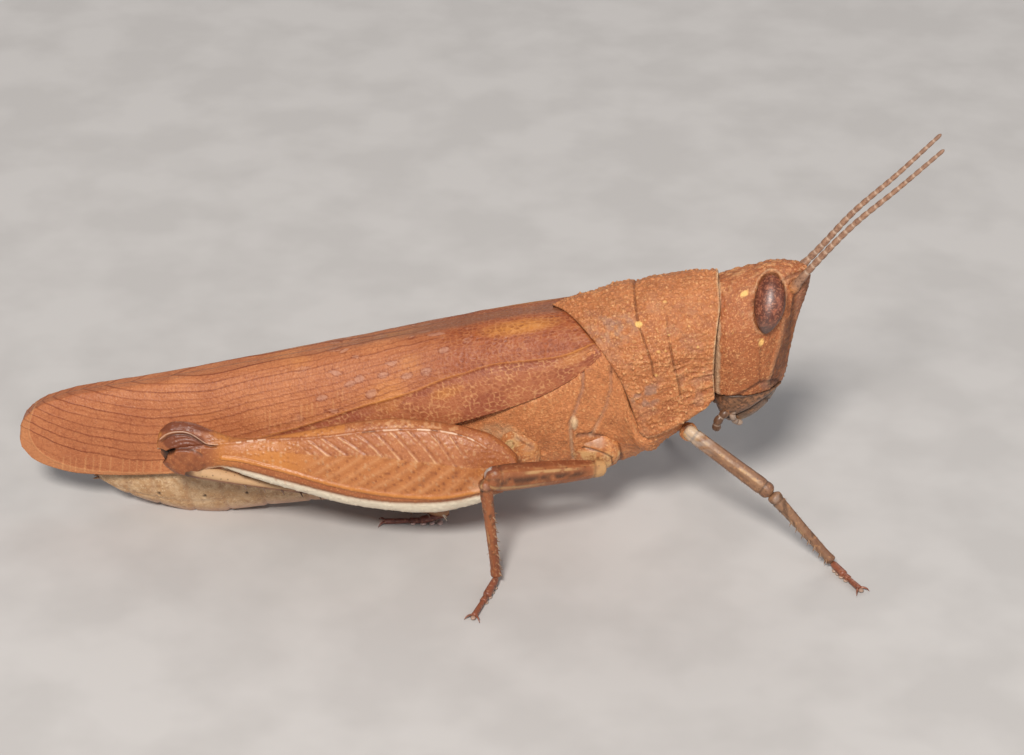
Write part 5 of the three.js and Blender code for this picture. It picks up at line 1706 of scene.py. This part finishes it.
# the coxae's seams, spots and zones, in pixels of the picture plane
MID_COXA_SEAMS = [
    (1, [(577, 448), (584, 447), (591, 449), (598, 451), (606, 454), (613, 458)], 1.6),
    (0.8, [(594, 475), (596, 468), (599, 463), (598, 458)], 1.6),
    (1, [(612, 458), (613, 464), (608, 470)], 1.5)]
MID_COXA_GREY = (592, 440), (20, 8), 14
MID_COXA_PALE_TOP = 449, 453
BOSS = [510.0, 444.5]
HIND_COXA_SEAM = [(517, 438), (524, 443), (532, 447)], 1.5
HIND_COXA_PALE = (500, 434), (26, 14), 30
HIND_COXA_GREY = (522, 444), (16, 8), 20
FORE_COXA_SEAM = [(680, 432), (686, 427), (693, 425)], 2
FORE_COXA_PALE = (694, 430), (7, 5)


def make_coxa(pair, name, side):
    centre, radii = COXAE[pair]
    local = sphere(0.01, 90, 110)
    grid = np.array(centre) + local * np.array(radii)
    q = pix(grid)
    seam = np.zeros(local.shape[:2])
    pale, grey = seam.copy(), seam.copy()
    if pair == "mid":
        seam = strongest(stroke, q, MID_COXA_SEAMS)
        grey = step(0, 0.5, spot(q, *MID_COXA_GREY)) * patchy(-0.4, 0.3, grid, 0.4, 601) * (1 - seam)
        pale = 0.8 * step(*MID_COXA_PALE_TOP, q[..., 1]) * patchy(-0.6, 0.2, grid, 0.35, 602)
    if pair == "hind":
        boss = distance(q, BOSS)
        seam = bell(boss - 3.2, 0.7) * 0.5 + 0.5 * stroke(q, *HIND_COXA_SEAM)
        pale = (unit(0.8 * step(5.5, 4.2, boss))
            + 0.6 * step(0, 0.5, spot(q, *HIND_COXA_PALE)) * patchy(-0.3, 0.3, grid, 0.3, 603))
        grey = (0.5 * step(0, 0.5, spot(q, *HIND_COXA_GREY)) * patchy(-0.3, 0.3, grid, 0.4, 604)
            + 0.5 * step(2.5, 1.0, boss))
    if pair == "fore":
        seam = 0.5 * stroke(q, *FORE_COXA_SEAM) + 0.35 * patchy(-0.4, 0.4, grid, 0.3, 605)
        pale = spot(q, *FORE_COXA_PALE) * 0.4
    seam = unit(seam)
    height = -0.06 * seam + 0.03 * fbm(grid, 0.5, 600) + 0.04 * unit(pale) - 0.02
    grid = grid + local * height[..., None]
    masks = {"dark": seam * 0.9, "pale": pale, "grey": grey}
    tube(f"{pair}_coxa_{name}_plate", grid * [1, side, 1], COXA, masks, [f"{pair}_coxa_{name}"])


def hairs_on(path, radius, count, length, seed, upward, lo=0.05, hi=0.95, thin=0.012, lean=0.8,
    arc=(-3.14, 3.14)):
    """Short bristles standing on a limb, leaning to its far end."""
    chance = np.random.default_rng(seed)
    t = chance.uniform(lo, hi, count)
    order = np.argsort(t)
    t = t[order]
    centre = path(t)
    ahead, side, up = frames_along(path(np.linspace(0, 1, 60)), upward)
    pick = np.clip((t * 59).astype(int), 0, 59)
    parts = []
    for i in range(count):
        a = chance.uniform(*arc)
        out = math.sin(a) * side[pick[i]] + math.cos(a) * up[pick[i]]
        root = centre[i] + out * radius(t[i]) * 0.9
        tip = root + out * length * chance.uniform(0.6, 1.1) + ahead[pick[i]] * length * lean
        parts.append((spike(root, tip, thin, 3, 2), 0.0))
    return parts


def make_walking_leg(pair, name, side, leg):
    hip, knee, heel = (ground_to_trunk(np.array(p) * [1, side, 1]) for p in leg[:3])
    paint = FORE_LEG if pair == "fore" else LEG
    rows, sides = 130, 56
    t = np.linspace(0, 1, rows)
    path = path_through([hip, knee])
    size = FEMUR_SIZE[pair](t) * rounded(t, 0.03, 0.03)
    angle = np.linspace(-np.pi, np.pi, sides, endpoint=False)
    ridges = sum(bell((angle - at + np.pi) % (2 * np.pi)
        - np.pi, 0.13) for at in (0, 0.95, -0.95, 1.9, -1.9, np.pi))
    shape = 1 + (0.07 * ridges - 0.03)[None, :] * step(0.02, 0.15, t)[:, None]
    rings, aa = limb(path, t, sides, size[:, None] * 0.8 * shape, size[:, None] * shape)
    lobe = step(0.9, 0.94, t)[:, None] * (1 - step(0.97, 1.0, t)[:, None])
    collar = bell(t - 0.11, 0.012)[:, None] + bell(t - 0.9, 0.01)[:, None]
    n = normals_of(rings)
    rings = rings + n * (0.012 * lobe - 0.025 * collar + 0.018 * fbm(rings, 0.35, 610))[..., None]
    h = np.cos(np.minimum(np.abs(aa) + np.pi / 6, np.pi))
    tt = t[:, None] + 0 * aa
    speckle = noise(rings * [0.4, 1, 1], 0.22, 620)
    if pair == "mid":
        masks = {
            "brown": step(0.3, 0.5, h) * (0.8 + 0.2 * speckle) + 0.4 * lobe,
            "cream": 0.9 * bell(h + 0.02, 0.1) * step(0.2, 0.35, tt) * fade(0.66, 0.76, tt)
            * step(-0.7, 0.0, speckle)
            + 0.75 * fade(0.08, 0.16, tt) * patchy(-0.7, 0.1, rings, 0.35, 621)
            + 0.7 * bell(h + 0.9, 0.08) * step(0.45, 0.7, tt)
            + 0.5 * bell(h - 0.3, 0.05) * step(0.0, 0.4, speckle),
            "dark": 0.95 * bell(h + 0.5, 0.26) * step(-0.8, 0.1, speckle) * step(0.12, 0.3, tt)
            + 0.35 * collar
            + 0.5 * bell(h - 0.85, 0.1) * step(0.5, 0.8, tt),
            "grey": step(0.93, 0.95, tt) * patchy(0.0, 0.4, rings, 0.3, 622) * (h > 0.1),
        }
    else:
        masks = {
            "brown": step(0.2, 0.7, np.abs(h)) * 0.5 * step(0.2, 0.5, tt) + 0.5 * lobe,
            "cream": 0.9 * fade(0.08, 0.2, tt)
            + 0.6 * bell(h - 0.25, 0.18) * step(-0.2, 0.4, speckle) * fade(0.8, 0.9, tt),
            "dark": 0.6 * bell(h + 0.35, 0.14) * step(-0.3, 0.3, speckle) + 0.8 * collar,
            "grey": 0.6 * fade(0.1, 0.42, tt) * step(-0.5, 0.3, speckle),
        }
    tube(f"{pair}_femur_{name}_shell", rings, paint, masks, [f"{pair}_femur_{name}"])

    path = path_through([knee, heel])
    shin = profile([[0, 0.26], [0.04, 0.36], [0.12, 0.33], [0.4, 0.27], [0.9, 0.235], [0.97, 0.27], [1, 0.2]])
    size = shin(t) * rounded(t, 0.03, 0.02)
    angle_ridges = 1 + 0.06 * np.cos(4 * angle)[None, :]
    rings, aa = limb(path, t, sides, size[:, None] * angle_ridges, size[:, None] * angle_ridges, (1, 0, 0))
    n = normals_of(rings)
    rings = rings + n * (0.02 * fbm(rings, 0.3, 630) - 0.04 * bell(t - 0.1, 0.015)[:, None])[..., None]
    speckle = noise(rings, 0.3, 632)
    tt = t[:, None] + 0 * aa
    masks = {
        "brown": 0.6 * step(0.3, 0.9, tt) + 0.4 * step(0, 0.6, speckle) + 0.3 * np.cos(aa),
        "cream": bell(np.cos(aa) + 0.55, 0.2) * patchy(-0.1, 0.5, rings * [1, 1, 0.3], 0.3, 634)
            * fade(0.55, 0.8, tt),
        "dark": patchy(0.25, 0.7, rings, 0.28, 636) * 0.7 + 0.6 * bell(tt - 0.1, 0.015),
        "grey": 0.35 * bell(tt - 0.05, 0.03) * step(0.0, 0.6, speckle),
    }
    tube(f"{pair}_tibia_{name}_shell", rings, paint, masks, [f"{pair}_tibia_{name}"])
    spines = []
    ahead, across, up = frames_along(path(np.linspace(0, 1, 3)), (1, 0, 0))
    for i in range(7):
        for row in (-0.6, 0.6):
            place = 0.36 + 0.095 * i + 0.02 * row
            turn = row + (0.0 if pair == "mid" else 2.6)
            out = math.cos(turn) * up[1] + math.sin(turn) * across[1]
            root = path(np.array([place]))[0] + out * shin(place) * 0.85
            tip = root + out * 0.26 + ahead[1] * 0.2
            spines.append((spike(root, tip, 0.045, 7, 4), 0.25))
    spines += hairs_on(path, lambda u: float(shin(u)), 90, 0.16, 7 + len(name) + len(pair), (1, 0, 0))
    femur = path_through([hip, knee])
    spines += hairs_on(femur, lambda u: float(FEMUR_SIZE[pair](u)) * 0.86, 120, 0.13, 9
        + len(name), (0, 0, 1), 0.15, 0.95, arc=(1.5, 4.6))
    gathered(f"{pair}_spines_{name}", spines, BRISTLE)


def bristle_paint():
    p = Paint("bristle", (0.40, 0.24, 0.14), 0.45, 0.4)
    p.lay(p.noise(0.4, 2, 0.5, 0.45, 0.65), (0.26, 0.13, 0.07), 0.7)
    p.lay("tone", (0.09, 0.035, 0.02), 0.9)
    return p.done()


BRISTLE = bristle_paint()


def foot_paint(name, base, dark, pad):
    p = Paint(name, base, 0.42, 0.42, 0.05)
    p.lay(p.noise(0.3, 4, 0.6, 0.45, 0.65), dark, 0.75)
    p.lay(p.noise(0.16, 3, 0.6, 0.57, 0.68), (0.50, 0.26, 0.16), 0.6)
    p.lay("tone", pad, 0.85)
    p.bump(p.noise(0.1, 3, 0.6, 0.3, 0.7), 0.014, 0.6)
    return p.done()


FOOT = foot_paint("foot", (0.25, 0.078, 0.04), (0.12, 0.04, 0.024), (0.46, 0.33, 0.25))
HIND_FOOT = foot_paint("hind_foot", (0.19, 0.065, 0.05), (0.09, 0.03, 0.025), (0.60, 0.44, 0.40))


def make_tarsus(pair, name, side, leg):
    heel = np.array(leg[2]) * [1, side, 1]
    toe = np.array([leg[3][0], leg[3][1] * side, 0.17])
    flat = (toe - heel) * [1, 1, 0]
    ahead = flat / np.linalg.norm(flat)
    across = np.array([ahead[1], -ahead[0], 0.0])
    start = np.array([heel[0], heel[1], 0.27]) + ahead * 0.12
    paint = HIND_FOOT if pair == "hind" else FOOT
    parts = []
    pieces = [(0.0, 0.4, 0.225), (0.38, 0.55, 0.19), (0.53, 0.93, 0.165)]
    span = toe - ahead * 0.05 - start
    for begin, end, girth in pieces:
        t = np.linspace(0, 1, 40)
        a, b = start + span * begin, start + span * end
        if begin == 0.0:
            a = heel + np.array([0, 0, -0.05])
        path = path_through([a, b])
        radius = girth * rounded(t, 0.25, 0.12, 0.45) * (0.82 + 0.2 * t)
        rings, _ = limb(path, t, 20, radius, radius * 0.95)
        rings[..., 2] = np.maximum(rings[..., 2], 0.02)
        parts.append((closed(rings), 0.0))
    for place, size in ((0.1, 0.15), (0.22, 0.15), (0.35, 0.17), (0.5, 0.15)):
        centre = start + span * place
        for lobe in (-1, 1):
            spot_at = [centre[0] + across[0] * 0.08 * lobe, centre[1] + across[1] * 0.08 * lobe, 0.1]
            parts.append((ball(spot_at, [size, size, 0.09], 10, 14), 1.0))
    end = start + span * 0.9
    for lobe in (-1, 1):
        root = end + across * 0.06 * lobe + [0, 0, 0.02]
        tip = end + ahead * 0.4 + across * 0.42 * lobe + [0, 0, -end[2] + 0.03]
        parts.append((spike(root, tip, 0.075, 9, 8, across * 0.05 * lobe + ahead * 0.04 + [0, 0, 0.09]), 0.0))
    pad = end + ahead * 0.2
    parts.append((ball([pad[0], pad[1], 0.14], [0.14, 0.14, 0.09], 12, 16), 0.7))
    gathered(f"{pair}_tarsus_{name}_foot", parts, paint, [f"{pair}_tarsus_{name}"], trunk=False)


def make_hind_tibia(name, side, leg):
    knee, heel = (ground_to_trunk(np.array(p) * [1, side, 1]) for p in leg[1:3])
    bend = knee * 0.88 + heel * 0.12 + [0, 0, -0.15]
    path = path_through([knee + [-0.5, 0, 0.2], bend, knee * 0.45 + heel * 0.55, heel])
    rows, sides = 220, 40
    t = np.linspace(0, 1, rows)
    girth = profile([[0, 0.3], [0.04, 0.42], [0.12, 0.36], [0.3, 0.3], [0.9, 0.26], [0.97, 0.33], [1, 0.24]])
    size = girth(t) * rounded(t, 0.04, 0.02)
    angle = np.linspace(-np.pi, np.pi, sides, endpoint=False)
    shape = 1 + 0.05 * np.cos(4 * angle)[None, :]
    rings, aa = limb(path, t, sides, size[:, None] * 0.9 * shape, size[:, None] * shape)
    speckle = noise(rings, 0.4, 640)
    tt = t[:, None] + 0 * aa
    masks = {
        "brown": 0.4 * step(0, 0.6, speckle) + step(0.1, 0.02, tt) + 0.3 * step(0.5, 1, tt),
        "cream": (0.9 * step(0.03, 0.08, tt) * fade(0.3, 0.5, tt) + 0.35) * (np.cos(aa) > -0.4),
        "dark": 0.9 * step(0.07, 0.03, tt) + 0.4 * patchy(0.3, 0.7, rings, 0.5, 641),
        "grey": 0 * tt,
    }
    tube(f"hind_tibia_{name}_shell", rings, HIND_SHIN, masks, [f"hind_tibia_{name}"])
    parts = []
    ahead, across, up = frames_along(path(np.linspace(0, 1, 101)), (0, 0, 1))
    for i in range(11):
        for row in (-1, 1):
            place = 0.24 + 0.068 * i
            k = int(place * 100)
            out = -0.78 * up[k] + 0.62 * across[k] * row
            root = path(np.array([place]))[0] + out * girth(place) * 0.8
            parts.append((spike(root, root + out * 0.3 + ahead[k] * 0.2, 0.06, 8, 5), 1.0))
    for row in (-1, 1):
        for far in (0.3, 0.5):
            root = path(np.array([0.97]))[0] + across[97] * 0.18 * row
            tip = root + ahead[97] * 0.35 + across[97] * far * 0.6 * row - up[97] * far * 0.6
            parts.append((spike(root, tip, 0.07, 8, 5), 0.0))
    gathered(f"hind_spines_{name}", parts, SPUR)


def spur_paint():
    p = Paint("spur", (0.74, 0.62, 0.48), 0.4, 0.42)
    p.lay(p.noise(0.3, 2, 0.5, 0.45, 0.65), (0.60, 0.42, 0.28), 0.6)
    p.lay("tone", (0.10, 0.04, 0.022), 0.9)
    return p.done()


SPUR = spur_paint()

for SIDE_NAME, SIDE in BOTH_SIDES:
    for PAIR in ("fore", "mid", "hind"):
        make_coxa(PAIR, SIDE_NAME, SIDE)
        make_tarsus(PAIR, SIDE_NAME, SIDE, LEGS[SIDE_NAME][PAIR])
        if PAIR == "hind":
            make_hind_tibia(SIDE_NAME, SIDE, LEGS[SIDE_NAME][PAIR])
        else:
            make_walking_leg(PAIR, SIDE_NAME, SIDE, LEGS[SIDE_NAME][PAIR])

# ---- lights and floor ----


def area(name, place, size, watts, colour, aim=(0, 0, 0.006)):
    data = bpy.data.lights.new(name, "AREA")
    data.shape = "DISK"
    data.size = size
    data.energy = watts
    data.color = colour
    lamp = bpy.data.objects.new(name, data)
    bpy.context.scene.collection.objects.link(lamp)
    lamp.location = place
    lamp.rotation_euler = (Vector(place) - Vector(aim)).to_track_quat("Z", "Y").to_euler()


area("key", (-0.04, -0.30, 0.31), 0.10, 1.95, (1.0, 0.965, 0.91))
area("fill", (0.26, -0.20, 0.16), 0.25, 0.2, (0.93, 0.96, 1.0))
area("back", (0.02, 0.30, 0.25), 0.2, 0.25, (1.0, 0.98, 0.95))
world = bpy.data.worlds.new("studio")
world.use_nodes = True
world.node_tree.nodes["Background"].inputs["Color"].default_value = (0.93, 0.95, 1.0, 1)
world.node_tree.nodes["Background"].inputs["Strength"].default_value = 0.25
bpy.context.scene.world = world

floor_mesh = bpy.data.meshes.new("floor")
FLOOR = 1.5
floor_mesh.from_pydata([(-FLOOR, -FLOOR, 0), (FLOOR, -FLOOR, 0), (FLOOR, FLOOR, 0), (-FLOOR, FLOOR, 0)],
    [], [(0, 1, 2, 3)])
floor = bpy.data.objects.new("floor", floor_mesh)
bpy.context.scene.collection.objects.link(floor)
floor_paint = Paint("floor", (0.505, 0.482, 0.468), 0.85, 0.2)
floor_paint.lay(floor_paint.noise(6, 3, 0.5, 0.4, 0.6), (0.60, 0.575, 0.56), 0.5)
floor_mesh.materials.append(floor_paint.done())
